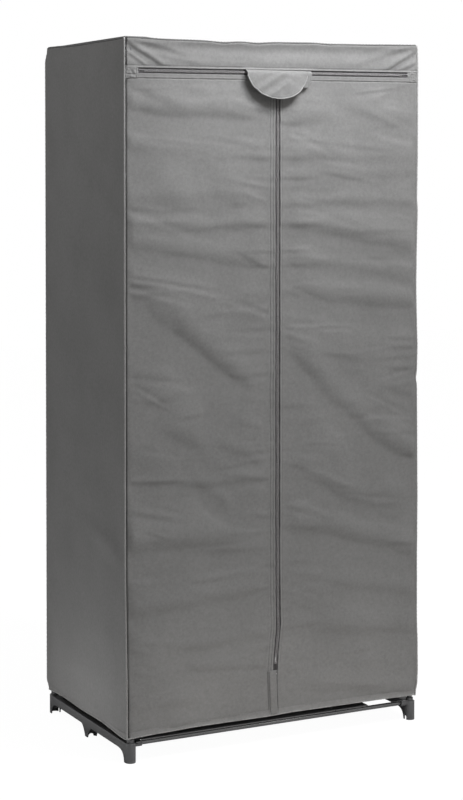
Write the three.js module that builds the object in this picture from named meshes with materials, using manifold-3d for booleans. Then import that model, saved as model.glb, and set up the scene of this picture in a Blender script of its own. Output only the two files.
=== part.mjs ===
// Portable fabric wardrobe: steel tubes in moulded end rails under a zipped nonwoven cover.
// Millimetres, +Z up, front towards -Y, origin on the floor at the middle of the footprint.

import * as THREE from "three";
import { mergeVertices } from "three/addons/utils/BufferGeometryUtils.js";
import Module from "manifold-3d";

const wasm = await Module();
wasm.setup();

// Overall sizes
const WIDTH = 750;
const DEPTH = 460;
const HEIGHT = 1600;
const HEM_HEIGHT = 57;

// Fits that all pieces share
const CLEARANCE = 0.3;
const OVERRUN = 2;
const WELD = 0.001;
const TUBE_SIDES = 12;
const ROUND_SIDES = 20;
const CURVE_STEPS = ROUND_SIDES / 4;

// Steel tubes
const UPRIGHT_RADIUS = 6;
const CROSS_TUBE_RADIUS = 5;
const HANGING_RAIL_RADIUS = 6;
const TUBE_WALL = 0.8;
const JOINT_HEIGHT = 811;

// Moulded sockets that the tubes plug into
const SOCKET_WALL = 2.2;
const SOCKET_DEPTH = 14;
const SOCKET_ROOF = 1.7;
const COLLAR_RADIUS = UPRIGHT_RADIUS + CLEARANCE + SOCKET_WALL;
const CROSS_SOCKET_RADIUS = CROSS_TUBE_RADIUS + CLEARANCE + SOCKET_WALL;
const HANGING_SOCKET_RADIUS = HANGING_RAIL_RADIUS + CLEARANCE + SOCKET_WALL;

// Cloth and the room it has round the frame
const CLOTH = 1.2;
const COVER_ROOM_SIDE = 1.3;
const POST_X = WIDTH / 2 - CLOTH - COVER_ROOM_SIDE - COLLAR_RADIUS;
const POST_Y = DEPTH / 2 - CLOTH - CLEARANCE - COLLAR_RADIUS;

// Bottom end rails: one moulding, hollow from below, on two corner feet and a middle foot
const FOOT_RADIUS = 12;
const RAIL_BOTTOM = 26;
const RAIL_TOP = 44;
const RAIL_WALL = 2.2;
const RAIL_WEB = 3;
const RIB = 2.4;
const RIB_SHARES = [-0.75, -0.5, -0.25, 0.25, 0.5, 0.75];
const CORNER_FOOT_WIDTH = 19;
const CORNER_FLARE = 33;
const CORNER_FLARE_SHARES = [[0.09, 0.62], [0.24, 0.98]];
const MIDDLE_FOOT_WIDTH = 12;
const MIDDLE_FLARE = 24;
const MIDDLE_FLARE_SHARES = [[0.29, 0.54], [0.58, 0.96]];
const WEB_ARCH_RADIUS = 7;
const FOOT_ARCH_RADIUS = 4;
const FOOT_ARCH_HEIGHT = 10;
const COLLAR_HEIGHT = 8;
const POST_SEAT = 16;
const POST_FLOOR = 4;
const CROSS_TUBE_HEIGHT = 41;

// Top end rails: an inverted channel just under the top cloth
const PIPING_RADIUS = 1.8;
const TOP_PIPING_HEIGHT = HEIGHT - PIPING_RADIUS;
const TOP_CLOTH_BOTTOM = TOP_PIPING_HEIGHT - PIPING_RADIUS;
const TOP_RAIL_TOP = TOP_CLOTH_BOTTOM - CLEARANCE;
const TOP_RAIL_HEIGHT = 20;
const TOP_COLLAR_DROP = 14;
const TOP_SEAT_DROP = 6;
const TOP_TUBE_DROP = 12;
const HANGING_RAIL_DROP = 14;

// Coupling sleeves half way up the uprights
const COUPLER_WALL = 1.5;
const COUPLER_LENGTH = 60;
const COUPLER_WEB = 3;
const COUPLER_CHAMFER = 0.6;

// Loose floor boards
const BOARD_THICKNESS = 2.5;
const BOARD_OVERHANG = 4;
const BOARD_GAP = 3;
const NARROW_BOARD_WIDTH = 87;
const BOARD_RIGHT_ROOM = 105.5;
const BOARD_NOTCH_ROOM = 1;

// Cover: where its seams and edges lie
const SEAM_ROOM_X = 0.2;
const SEAM_ROOM_Y = 0.7;
const PIPING_X = WIDTH / 2 - PIPING_RADIUS - SEAM_ROOM_X;
const PIPING_Y = DEPTH / 2 - PIPING_RADIUS - SEAM_ROOM_Y;
const PANEL_X = PIPING_X - PIPING_RADIUS - CLEARANCE;
const PANEL_Y = PIPING_Y - PIPING_RADIUS - CLEARANCE;
const COVER_TOP = TOP_CLOTH_BOTTOM - CLEARANCE;
const TOP_CORNER_RADIUS = 4;
const TOP_CORNER_STEPS = 5;
const TOP_CORNER_TUCK = 1.2;
const TOP_DIP = 4;
const TOP_DIP_MIDDLE_SHARE = -0.24;
const TOP_DIP_SPREAD_SHARE = 0.6;
const PIPING_SIDES = 8;

// Cover: how far it stands off the frame where it is slack
const SLACK_LOW_RISE = 25;
const SLACK_TOP_RISE = 35;
const SLACK_LEFT = 3;
const SLACK_RIGHT = 3;
const SLACK_BACK_LEFT = 6;
const SLACK_BACK_RIGHT = 5;
const SIDE_SWELL = 2.5;
const BACK_SWELL = 2;
const TOP_SAG = 3;

// Zips
const ZIP_X = 0;
const TOP_ZIP_DROP = 75.5;
const TOP_ZIP_HEIGHT = HEIGHT - TOP_ZIP_DROP;
const ZIP_END_ROOM = 20.9;
const TOP_ZIP_HALF_LENGTH = PANEL_X - ZIP_END_ROOM;
const ZIP_OPENING = 6;
const TOP_ZIP_OPENING_UP = 6.5;
const TOP_ZIP_OPENING_DOWN = 6;
const SKIRT_TOP = 160;
const TAPE = 0.6;
const TAPE_TUCK = 6;
const COIL_GAP = 1.2;
const COIL_WIDTH = 2.8;
const COIL_PROUD = 0.9;
const COIL_CHAMFER = 0.8;
const STOP_WIDTH = 6;
const STOP_LENGTH = 5;
const STOP_THICKNESS = 1.6;

// Sliders and their pulls
const SLIDER_WIDTH = 9;
const SLIDER_TAIL = 6.4;
const SLIDER_LENGTH = 14;
const SLIDER_PLATE = 1.4;
const SLIDER_WEB = COIL_GAP - 2 * CLEARANCE;
const SLIDER_WEB_LENGTH = 8;
const BAIL_WIDTH = 1.6;
const BAIL_BAR = 1.2;
const BAIL_OPENING = 2.8;
const PULL_WIDTH = 7;
const PULL_LENGTH = 20;
const PULL_THICKNESS = 1.2;
const PULL_WINDOW = 4;
const PULL_ROUND = 2.4;
const PULL_HOLE = 1.3;
const PARK_ROOM = 2;
const CENTRE_SLIDER_DROP = 29.5;
const CENTRE_SLIDER_HEIGHT = TOP_ZIP_HEIGHT - CENTRE_SLIDER_DROP;
const SIDE_SLIDER_ROOM = 30;

// Flap over the sliders
const FLAP_LEFT = 81;
const FLAP_RIGHT = 76;
const FLAP_LOW_X = -4;
const FLAP_DEPTH = 64;
const FLAP_LANE = 7.6;
const FLAP_STAND = 2;
const FLAP_STAND_RUN = 2.2;
const FLAP_LEAN_SHARE = 0.11;
const FLAP_RIGHT_RUN = 36;
const FLAP_REST = 0.6;
const FLAP_END_SHARE = 0.985;
const FACING_REACH = 13;
const FACING_TUCK = 30;
const FACING_DEPTH = 34;

// Plain shapes along each axis
const extrusion = (outline, depth) =>
  new THREE.ExtrudeGeometry(outline, { depth, bevelEnabled: false, curveSegments: CURVE_STEPS });
const yzToWorld = new THREE.Matrix4().set(0, 0, 1, 0, 1, 0, 0, 0, 0, 1, 0, 0, 0, 0, 0, 1);

function extrudeX(outline, from, to) {
  return extrusion(outline, to - from).applyMatrix4(yzToWorld).translate(from, 0, 0);
}

function extrudeY(outline, from, to) {
  return extrusion(outline, to - from).rotateX(Math.PI / 2).translate(0, to, 0);
}

function extrudeZ(outline, from, to) {
  return extrusion(outline, to - from).translate(0, 0, from);
}

function rodZ(radius, from, to, sides) {
  const rod = new THREE.CylinderGeometry(radius, radius, to - from, sides);
  return rod.rotateX(Math.PI / 2).translate(0, 0, (from + to) / 2);
}

function rodX(radius, from, to, sides) {
  const rod = new THREE.CylinderGeometry(radius, radius, to - from, sides);
  return rod.rotateZ(Math.PI / 2).translate((from + to) / 2, 0, 0);
}

function block(sizeX, sizeY, fromZ, toZ) {
  return new THREE.BoxGeometry(sizeX, sizeY, toZ - fromZ).translate(0, 0, (fromZ + toZ) / 2);
}

function outlineOf(points) {
  return new THREE.Shape(points.map(([across, up]) => new THREE.Vector2(across, up)));
}

function ringOutline(radius) {
  const ring = new THREE.Shape();
  ring.absarc(0, 0, radius, 0, 2 * Math.PI, false);
  const bore = new THREE.Path();
  bore.absarc(0, 0, radius - TUBE_WALL, 0, 2 * Math.PI, true);
  ring.holes.push(bore);
  return ring;
}

function tubeGeometry(radius, length) {
  const ring = ringOutline(radius);
  const steps = TUBE_SIDES / 2;
  return new THREE.ExtrudeGeometry(ring, { depth: length, bevelEnabled: false, curveSegments: steps });
}

// Joining and cutting
function solidOf(geometry) {
  const bare = geometry.clone();
  bare.deleteAttribute("normal");
  bare.deleteAttribute("uv");
  const welded = mergeVertices(bare, WELD);
  return new wasm.Manifold(new wasm.Mesh({
    numProp: 3,
    vertProperties: Float32Array.from(welded.attributes.position.array),
    triVerts: Uint32Array.from(welded.index.array),
  }));
}

function geometryOf(solid) {
  const mesh = solid.getMesh();
  const geometry = new THREE.BufferGeometry();
  geometry.setAttribute("position", new THREE.BufferAttribute(mesh.vertProperties, 3));
  geometry.setIndex(new THREE.BufferAttribute(mesh.triVerts, 1));
  geometry.computeVertexNormals();
  return geometry;
}

function joined(solid, geometries) {
  return geometries.reduce((whole, piece) => whole.add(solidOf(piece)), solid);
}

function cut(solid, geometries) {
  return geometries.reduce((whole, piece) => whole.subtract(solidOf(piece)), solid);
}

// Scene groups and materials
const wardrobe = new THREE.Group();
const frame = new THREE.Group();
const cover = new THREE.Group();
const fastening = new THREE.Group();
wardrobe.add(frame, cover, fastening);

function finish(color, roughness, metalness) {
  return new THREE.MeshStandardMaterial({ color, roughness, metalness });
}

function place(group, name, geometry, material, x = 0, y = 0, z = 0) {
  const mesh = new THREE.Mesh(geometry, material);
  mesh.name = name;
  mesh.position.set(x, y, z);
  group.add(mesh);
  return mesh;
}

const mouldedBlack = () => finish(0x1d1d1f, 0.55, 0);
const blackSteel = () => finish(0x232427, 0.38, 0.6);
const darkBoard = () => finish(0x2b2b2d, 0.85, 0);
const greyCloth = () => finish(0x6f6d6c, 0.9, 0);
const greyPiping = () => finish(0x666463, 0.85, 0);
const zipTape = () => finish(0x4d4950, 0.8, 0);
const sliderMetal = () => finish(0x3a3a3e, 0.4, 0.8);

// Outlines of the end rails
function stadium(halfLength, radius) {
  const outline = new THREE.Shape();
  outline.absarc(0, halfLength, radius, 0, Math.PI, false);
  outline.absarc(0, -halfLength, radius, Math.PI, 2 * Math.PI, false);
  outline.closePath();
  return outline;
}

// A foot spreads into the rail along one curve from its toe on the floor to the rail's edge.
function flare(outline, toe, rail, shares, rising) {
  const [low, high] = shares.map(([along, up]) => [toe + (rail - toe) * along, RAIL_BOTTOM * up]);
  if (rising) outline.bezierCurveTo(low[0], low[1], high[0], high[1], rail, RAIL_BOTTOM);
  else outline.bezierCurveTo(high[0], high[1], low[0], low[1], toe, 0);
}

function bottomRailSide() {
  const end = POST_Y + FOOT_RADIUS;
  const toe = end - CORNER_FOOT_WIDTH;
  const arch = toe - CORNER_FLARE;
  const middleToe = MIDDLE_FOOT_WIDTH / 2;
  const middleArch = middleToe + MIDDLE_FLARE;
  const outline = new THREE.Shape();
  outline.moveTo(-end, 0);
  outline.lineTo(-toe, 0);
  flare(outline, -toe, -arch, CORNER_FLARE_SHARES, true);
  outline.lineTo(-middleArch, RAIL_BOTTOM);
  flare(outline, -middleToe, -middleArch, MIDDLE_FLARE_SHARES, false);
  outline.lineTo(middleToe, 0);
  flare(outline, middleToe, middleArch, MIDDLE_FLARE_SHARES, true);
  outline.lineTo(arch, RAIL_BOTTOM);
  flare(outline, toe, arch, CORNER_FLARE_SHARES, false);
  outline.lineTo(end, 0);
  outline.lineTo(end, RAIL_TOP);
  outline.lineTo(-end, RAIL_TOP);
  outline.closePath();
  return outline;
}

// The web across the middle foot stands on the floor on both sides of a round arch.
function middleWeb() {
  const reach = FOOT_RADIUS - RAIL_WALL / 2;
  const outline = new THREE.Shape();
  outline.moveTo(-reach, 0);
  outline.lineTo(-WEB_ARCH_RADIUS, 0);
  outline.absarc(0, 0, WEB_ARCH_RADIUS, Math.PI, 0, true);
  outline.lineTo(reach, 0);
  outline.lineTo(reach, RAIL_TOP - RAIL_WEB / 2);
  outline.lineTo(-reach, RAIL_TOP - RAIL_WEB / 2);
  outline.closePath();
  return extrudeY(outline, -RIB / 2, RIB / 2);
}

function footArch(y) {
  const spring = FOOT_ARCH_HEIGHT - FOOT_ARCH_RADIUS;
  const outline = new THREE.Shape();
  outline.moveTo(y + FOOT_ARCH_RADIUS, -OVERRUN);
  outline.lineTo(y + FOOT_ARCH_RADIUS, spring);
  outline.absarc(y, spring, FOOT_ARCH_RADIUS, 0, Math.PI, false);
  outline.lineTo(y - FOOT_ARCH_RADIUS, -OVERRUN);
  outline.closePath();
  return extrudeX(outline, FOOT_RADIUS - RAIL_WALL - OVERRUN / 2, FOOT_RADIUS + OVERRUN);
}

// A bottom socket is round below and flat above, so that a board can lie beside it.
function bottomSocket(y) {
  const roof = CROSS_TUBE_HEIGHT + CROSS_TUBE_RADIUS + CLEARANCE + SOCKET_ROOF;
  const outline = new THREE.Shape();
  outline.moveTo(y - CROSS_SOCKET_RADIUS, roof);
  outline.absarc(y, CROSS_TUBE_HEIGHT, CROSS_SOCKET_RADIUS, Math.PI, 2 * Math.PI, false);
  outline.lineTo(y + CROSS_SOCKET_RADIUS, roof);
  outline.closePath();
  return extrudeX(outline, COLLAR_RADIUS - RAIL_WALL / 2, FOOT_RADIUS + SOCKET_DEPTH);
}

const TUBE_ROWS = [-POST_Y, 0, POST_Y];
const POST_ROWS = [-POST_Y, POST_Y];

// Built with the inside of the wardrobe towards +X.
function bottomEndRail() {
  const collarTop = RAIL_TOP + COLLAR_HEIGHT;
  const side = solidOf(extrudeX(bottomRailSide(), -FOOT_RADIUS - OVERRUN, FOOT_RADIUS + OVERRUN));
  const plan = solidOf(extrudeZ(stadium(POST_Y, FOOT_RADIUS), -OVERRUN, RAIL_TOP + OVERRUN));
  const hollow = extrudeZ(stadium(POST_Y, FOOT_RADIUS - RAIL_WALL), -OVERRUN, RAIL_TOP - RAIL_WEB);
  const ribLength = 2 * FOOT_RADIUS - RAIL_WALL;
  const ribs = RIB_SHARES.map((share) =>
    block(ribLength, RIB, RAIL_BOTTOM, RAIL_TOP - RAIL_WEB / 2).translate(0, POST_Y * share, 0));
  const posts = POST_ROWS.map((y) =>
    rodZ(COLLAR_RADIUS, POST_SEAT - POST_FLOOR, collarTop, ROUND_SIDES).translate(0, y, 0));
  const postBores = POST_ROWS.map((y) =>
    rodZ(UPRIGHT_RADIUS + CLEARANCE, POST_SEAT, collarTop + OVERRUN, TUBE_SIDES).translate(0, y, 0));
  const tubeBores = TUBE_ROWS.map((y) =>
    rodX(CROSS_TUBE_RADIUS + CLEARANCE, FOOT_RADIUS, FOOT_RADIUS + SOCKET_DEPTH + OVERRUN, TUBE_SIDES)
      .translate(0, y, CROSS_TUBE_HEIGHT));
  const shell = cut(side.intersect(plan), [hollow, ...POST_ROWS.map(footArch)]);
  const filled = joined(shell, [middleWeb(), ...ribs, ...posts, ...TUBE_ROWS.map(bottomSocket)]);
  return geometryOf(cut(filled, [...postBores, ...tubeBores]));
}

function topEndRail() {
  const bottom = TOP_RAIL_TOP - TOP_RAIL_HEIGHT;
  const shell = cut(solidOf(extrudeZ(stadium(POST_Y, COLLAR_RADIUS), bottom, TOP_RAIL_TOP)),
    [extrudeZ(stadium(POST_Y, COLLAR_RADIUS - RAIL_WALL), bottom - OVERRUN, TOP_RAIL_TOP - RAIL_WEB)]);
  const ribLength = 2 * COLLAR_RADIUS - RAIL_WALL;
  const ribs = RIB_SHARES.map((share) =>
    block(ribLength, RIB, bottom, TOP_RAIL_TOP - RAIL_WEB / 2).translate(0, POST_Y * share, 0));
  const seat = TOP_RAIL_TOP - TOP_SEAT_DROP;
  const collarFrom = bottom - TOP_COLLAR_DROP;
  const posts = POST_ROWS.map((y) =>
    rodZ(COLLAR_RADIUS, collarFrom, TOP_RAIL_TOP - RAIL_WEB / 2, ROUND_SIDES).translate(0, y, 0));
  const postBores = POST_ROWS.map((y) =>
    rodZ(UPRIGHT_RADIUS + CLEARANCE, collarFrom - OVERRUN, seat, TUBE_SIDES).translate(0, y, 0));
  const rows = [
    [-POST_Y, CROSS_TUBE_RADIUS, CROSS_SOCKET_RADIUS, TOP_TUBE_DROP],
    [0, HANGING_RAIL_RADIUS, HANGING_SOCKET_RADIUS, HANGING_RAIL_DROP],
    [POST_Y, CROSS_TUBE_RADIUS, CROSS_SOCKET_RADIUS, TOP_TUBE_DROP],
  ];
  const sockets = rows.map(([y, , outer, drop]) =>
    rodX(outer, COLLAR_RADIUS - RAIL_WALL / 2, COLLAR_RADIUS + SOCKET_DEPTH, ROUND_SIDES)
      .translate(0, y, TOP_RAIL_TOP - drop));
  const tubeBores = rows.map(([y, inner, , drop]) =>
    rodX(inner + CLEARANCE, COLLAR_RADIUS, COLLAR_RADIUS + SOCKET_DEPTH + OVERRUN, TUBE_SIDES)
      .translate(0, y, TOP_RAIL_TOP - drop));
  return geometryOf(cut(joined(shell, [...ribs, ...posts, ...sockets]), [...postBores, ...tubeBores]));
}

place(frame, "bottom_end_rail_left", bottomEndRail(), mouldedBlack(), -POST_X);
place(frame, "bottom_end_rail_right", bottomEndRail(), mouldedBlack(), POST_X).rotation.z = Math.PI;
place(frame, "top_end_rail_left", topEndRail(), mouldedBlack(), -POST_X);
place(frame, "top_end_rail_right", topEndRail(), mouldedBlack(), POST_X).rotation.z = Math.PI;

// Uprights in two halves, with a sleeve over each joint
function coupler() {
  const bore = UPRIGHT_RADIUS + CLEARANCE;
  const outer = bore + COUPLER_WALL;
  const half = COUPLER_LENGTH / 2;
  const web = COUPLER_WEB / 2;
  const profile = [
    [0, -web], [bore, -web], [bore, -half], [outer - COUPLER_CHAMFER, -half], [outer, COUPLER_CHAMFER - half],
    [outer, half - COUPLER_CHAMFER], [outer - COUPLER_CHAMFER, half], [bore, half], [bore, web], [0, web],
  ];
  const turned = new THREE.LatheGeometry(profile.map(([r, up]) => new THREE.Vector2(r, up)), TUBE_SIDES);
  return geometryOf(solidOf(turned.rotateX(Math.PI / 2)));
}

const lowerFrom = POST_SEAT + CLEARANCE;
const lowerTo = JOINT_HEIGHT - COUPLER_WEB / 2 - CLEARANCE;
const upperFrom = JOINT_HEIGHT + COUPLER_WEB / 2 + CLEARANCE;
const upperTo = TOP_RAIL_TOP - TOP_SEAT_DROP - CLEARANCE;
const corners = [
  ["front_left", -POST_X, -POST_Y], ["front_right", POST_X, -POST_Y],
  ["back_left", -POST_X, POST_Y], ["back_right", POST_X, POST_Y],
];
for (const [corner, x, y] of corners) {
  const lower = tubeGeometry(UPRIGHT_RADIUS, lowerTo - lowerFrom);
  const upper = tubeGeometry(UPRIGHT_RADIUS, upperTo - upperFrom);
  place(frame, `upright_lower_${corner}`, lower, blackSteel(), x, y, lowerFrom);
  place(frame, `upright_upper_${corner}`, upper, blackSteel(), x, y, upperFrom);
  place(frame, `coupler_${corner}`, coupler(), mouldedBlack(), x, y, JOINT_HEIGHT);
}

// Cross tubes and the hanging rail
function crossTube(name, radius, railRadius, y, z) {
  const reach = POST_X - railRadius - CLEARANCE;
  const tube = tubeGeometry(radius, 2 * reach).applyMatrix4(yzToWorld);
  place(frame, name, tube, blackSteel(), -reach, y, z);
}

const topTubeHeight = TOP_RAIL_TOP - TOP_TUBE_DROP;
crossTube("bottom_tube_front", CROSS_TUBE_RADIUS, FOOT_RADIUS, -POST_Y, CROSS_TUBE_HEIGHT);
crossTube("bottom_tube_middle", CROSS_TUBE_RADIUS, FOOT_RADIUS, 0, CROSS_TUBE_HEIGHT);
crossTube("bottom_tube_back", CROSS_TUBE_RADIUS, FOOT_RADIUS, POST_Y, CROSS_TUBE_HEIGHT);
crossTube("top_tube_front", CROSS_TUBE_RADIUS, COLLAR_RADIUS, -POST_Y, topTubeHeight);
crossTube("top_tube_back", CROSS_TUBE_RADIUS, COLLAR_RADIUS, POST_Y, topTubeHeight);
crossTube("hanging_rail", HANGING_RAIL_RADIUS, COLLAR_RADIUS, 0, TOP_RAIL_TOP - HANGING_RAIL_DROP);

// Floor boards on the lower tubes; the wide one is notched round the sockets of the left rail
const boardZ = CROSS_TUBE_HEIGHT + CROSS_TUBE_RADIUS + CLEARANCE;
const railFace = POST_X - FOOT_RADIUS;
const narrowRight = railFace - BOARD_RIGHT_ROOM;
const narrowLeft = narrowRight - NARROW_BOARD_WIDTH;
const boardY = POST_Y + BOARD_OVERHANG;

function wideBoard() {
  const left = -railFace + CLEARANCE;
  const right = narrowLeft - BOARD_GAP;
  const notchX = -railFace + SOCKET_DEPTH + BOARD_NOTCH_ROOM;
  const notchY = CROSS_SOCKET_RADIUS + BOARD_NOTCH_ROOM;
  const cornerY = POST_Y - notchY;
  return outlineOf([
    [notchX, -boardY], [right, -boardY], [right, boardY], [notchX, boardY],
    [notchX, cornerY], [left, cornerY], [left, notchY], [notchX, notchY],
    [notchX, -notchY], [left, -notchY], [left, -cornerY], [notchX, -cornerY],
  ]);
}

const narrowBoard = outlineOf([
  [narrowLeft, -boardY], [narrowRight, -boardY], [narrowRight, boardY], [narrowLeft, boardY],
]);
const boardTop = boardZ + BOARD_THICKNESS;
place(frame, "floor_board_wide", extrudeZ(wideBoard(), boardZ, boardTop), darkBoard());
place(frame, "floor_board_narrow", extrudeZ(narrowBoard, boardZ, boardTop), darkBoard());

// A cloth sheet: outer face place(u, v), with u and v running so that u x v points outwards.
function sheet(us, vs, place, inward) {
  const positions = [];
  for (const depth of [0, CLOTH]) {
    for (const v of vs) {
      for (const u of us) {
        const point = place(u, v).addScaledVector(inward, depth);
        positions.push(point.x, point.y, point.z);
      }
    }
  }
  const layer = us.length * vs.length;
  const at = (i, j, side) => side * layer + j * us.length + i;
  const faces = [];
  const quad = (a, b, c, d) => faces.push(a, b, c, a, c, d);
  const right = us.length - 1;
  const top = vs.length - 1;
  for (let j = 0; j < top; j += 1) {
    for (let i = 0; i < right; i += 1) {
      quad(at(i, j, 0), at(i + 1, j, 0), at(i + 1, j + 1, 0), at(i, j + 1, 0));
      quad(at(i, j, 1), at(i, j + 1, 1), at(i + 1, j + 1, 1), at(i + 1, j, 1));
    }
    quad(at(0, j, 0), at(0, j + 1, 0), at(0, j + 1, 1), at(0, j, 1));
    quad(at(right, j, 0), at(right, j, 1), at(right, j + 1, 1), at(right, j + 1, 0));
  }
  for (let i = 0; i < right; i += 1) {
    quad(at(i, 0, 1), at(i + 1, 0, 1), at(i + 1, 0, 0), at(i, 0, 0));
    quad(at(i, top, 0), at(i + 1, top, 0), at(i + 1, top, 1), at(i, top, 1));
  }
  return indexed(positions, faces);
}

function indexed(positions, faces) {
  const geometry = new THREE.BufferGeometry();
  geometry.setAttribute("position", new THREE.Float32BufferAttribute(positions, 3));
  geometry.setIndex(faces);
  geometry.computeVertexNormals();
  return geometry;
}

const evenly = (count) => Array.from({ length: count + 1 }, (_, k) => k / count);
const mix = (from, to, share) => from + (to - from) * share;
const eased = (share) => THREE.MathUtils.smoothstep(share, 0, 1);

// The cover is slack against the frame: it stands off at the back corners except at hem and top.
function slackAt(z) {
  return eased((z - HEM_HEIGHT) / SLACK_LOW_RISE) * eased((COVER_TOP - z) / SLACK_TOP_RISE);
}

function coverLevels(steps) {
  const low = HEM_HEIGHT + SLACK_LOW_RISE;
  const high = COVER_TOP - SLACK_TOP_RISE;
  return [HEM_HEIGHT, ...evenly(steps).map((share) => mix(low, high, share)), COVER_TOP];
}

// The front top edge dips a little left of the middle, where the header hangs from the tube.
function dipAt(x) {
  const share = x / (WIDTH / 2);
  const away = (share - TOP_DIP_MIDDLE_SHARE) / TOP_DIP_SPREAD_SHARE;
  return TOP_DIP * Math.exp(-away * away) * Math.max(0, 1 - share * share);
}

// Each fold: height, slope across the panel, depth and spread as shares; outwards is positive.
function foldDepth(folds, u, v) {
  const depths = folds.map(([height, slope, depth, spread]) => {
    const away = (v - height - slope * (u - 1 / 2)) / spread;
    return depth * Math.exp(-away * away);
  });
  return depths.reduce((sum, depth) => sum + depth, 0);
}

function edgeEase(share, flat, rise) {
  return eased((share - flat) / rise) * eased((1 - share - flat) / rise);
}

const FOLD_DEPTH = 4;
const SIDE_FOLD_DEPTH = 2;
const HEADER_FOLD_DEPTH = 1.6;
const EDGE_FLAT_SHARE = 0.05;
const EDGE_RISE_SHARE = 0.14;
const END_FLAT_SHARE = 0.015;
const END_RISE_SHARE = 0.05;
const LEFT_DOOR_FOLD_SHARES = [
  [0.975, 0.01, -0.5, 0.03], [0.94, -0.02, -0.6, 0.018], [0.885, 0.015, -0.8, 0.024],
  [0.79, 0.03, -0.9, 0.024], [0.755, -0.03, -0.5, 0.018], [0.704, 0.02, -0.7, 0.024],
  [0.655, -0.11, -0.8, 0.03], [0.505, -0.03, -0.9, 0.022], [0.54, 0.12, 0.6, 0.03],
  [0.324, 0, -0.9, 0.024], [0.28, 0.02, 0.7, 0.03], [0.182, 0.03, -0.8, 0.026],
  [0.122, -0.02, -0.5, 0.022], [0.024, 0.01, -0.6, 0.02], [0.42, 0.04, 0.7, 0.05],
  [0.84, 0, 0.5, 0.03],
];
const RIGHT_DOOR_FOLD_SHARES = [
  [0.93, 0.02, -0.7, 0.022], [0.87, -0.02, -0.8, 0.024], [0.833, 0.02, -0.6, 0.018],
  [0.789, -0.01, -0.9, 0.024], [0.744, 0.02, -0.5, 0.02], [0.673, -0.02, -0.8, 0.026],
  [0.582, 0.02, -0.7, 0.024], [0.478, -0.13, -1, 0.028], [0.51, -0.1, 0.7, 0.026],
  [0.357, 0.03, 0.6, 0.024], [0.32, 0.02, -0.6, 0.024], [0.21, 0.01, -0.8, 0.026],
  [0.17, -0.01, 0.5, 0.03], [0.09, 0.02, -0.5, 0.026], [0.4, -0.02, 0.6, 0.04],
  [0.62, 0.04, 0.5, 0.03],
];
const SIDE_FOLD_SHARES = [
  [0.92, 0.05, -0.7, 0.03], [0.6, -0.1, -0.6, 0.05], [0.28, 0.12, 0.6, 0.06], [0.12, 0.02, -0.6, 0.04],
];
const HEADER_FOLD_SHARES = [
  [0.06, -0.6, -0.8, 0.03], [0.1, -0.5, 0.6, 0.025], [0.93, 0.6, -0.9, 0.03], [0.88, 0.5, 0.5, 0.03],
];

const outward = { left: -1, right: 1 };
const inFront = new THREE.Vector3(0, 1, 0);
const inBack = new THREE.Vector3(0, -1, 0);
const inLeft = new THREE.Vector3(1, 0, 0);
const inRight = new THREE.Vector3(-1, 0, 0);
const under = new THREE.Vector3(0, 0, -1);
const FRONT = -DEPTH / 2;

// Side and back panels share their levels with the piping between them.
const COVER_STEPS = 17;
const levels = coverLevels(COVER_STEPS);
const levelShares = levels.map((z) => (z - HEM_HEIGHT) / (COVER_TOP - HEM_HEIGHT));
const heightAt = (share) => mix(HEM_HEIGHT, COVER_TOP, share);

function sidePanel(sign, slackSide, slackBack) {
  const place = (u, v) => {
    const z = heightAt(v);
    const slack = slackAt(z);
    const back = sign < 0 ? 1 - u : u;
    const belly = edgeEase(u, 0, EDGE_RISE_SHARE * 2);
    const folds = SIDE_FOLD_DEPTH * foldDepth(SIDE_FOLD_SHARES, u, v);
    const x = WIDTH / 2 + slackSide * slack * back + (SIDE_SWELL + folds) * slack * belly;
    return new THREE.Vector3(sign * x, mix(-PANEL_Y, PANEL_Y + slackBack * slack, back), z);
  };
  return sheet(evenly(8), levelShares, place, sign < 0 ? inLeft : inRight);
}

function backPanel() {
  const place = (u, v) => {
    const z = heightAt(v);
    const slack = slackAt(z);
    const x = mix(PANEL_X + SLACK_RIGHT * slack, -PANEL_X - SLACK_LEFT * slack, u);
    const folds = SIDE_FOLD_DEPTH * foldDepth(SIDE_FOLD_SHARES, u, v);
    const swell = (BACK_SWELL + folds) * edgeEase(u, 0, EDGE_RISE_SHARE) * slack;
    return new THREE.Vector3(x, DEPTH / 2 + mix(SLACK_BACK_RIGHT, SLACK_BACK_LEFT, u) * slack + swell, z);
  };
  return sheet(evenly(8), levelShares, place, inBack);
}

function topPanel() {
  const halfX = PANEL_X + SEAM_ROOM_X;
  const halfY = PANEL_Y + SEAM_ROOM_Y;
  const place = (u, v) => {
    const corner = (u === 0 || u === 1) && (v === 0 || v === 1) ? TOP_CORNER_TUCK : 0;
    const x = mix(-halfX, halfX, u) * (1 - corner / halfX);
    const y = mix(-halfY, halfY, v) * (1 - corner / halfY);
    const sag = TOP_SAG * edgeEase(u, EDGE_FLAT_SHARE, EDGE_RISE_SHARE) * edgeEase(v, 0, EDGE_RISE_SHARE);
    return new THREE.Vector3(x, y, TOP_CLOTH_BOTTOM + CLOTH - Math.max(sag, dipAt(x) * (1 - v)));
  };
  return sheet(evenly(14), evenly(6), place, under);
}

place(cover, "cover_side_left", sidePanel(outward.left, SLACK_LEFT, SLACK_BACK_LEFT), greyCloth());
place(cover, "cover_side_right", sidePanel(outward.right, SLACK_RIGHT, SLACK_BACK_RIGHT), greyCloth());
place(cover, "cover_back", backPanel(), greyCloth());
place(cover, "cover_top", topPanel(), greyCloth());

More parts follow.
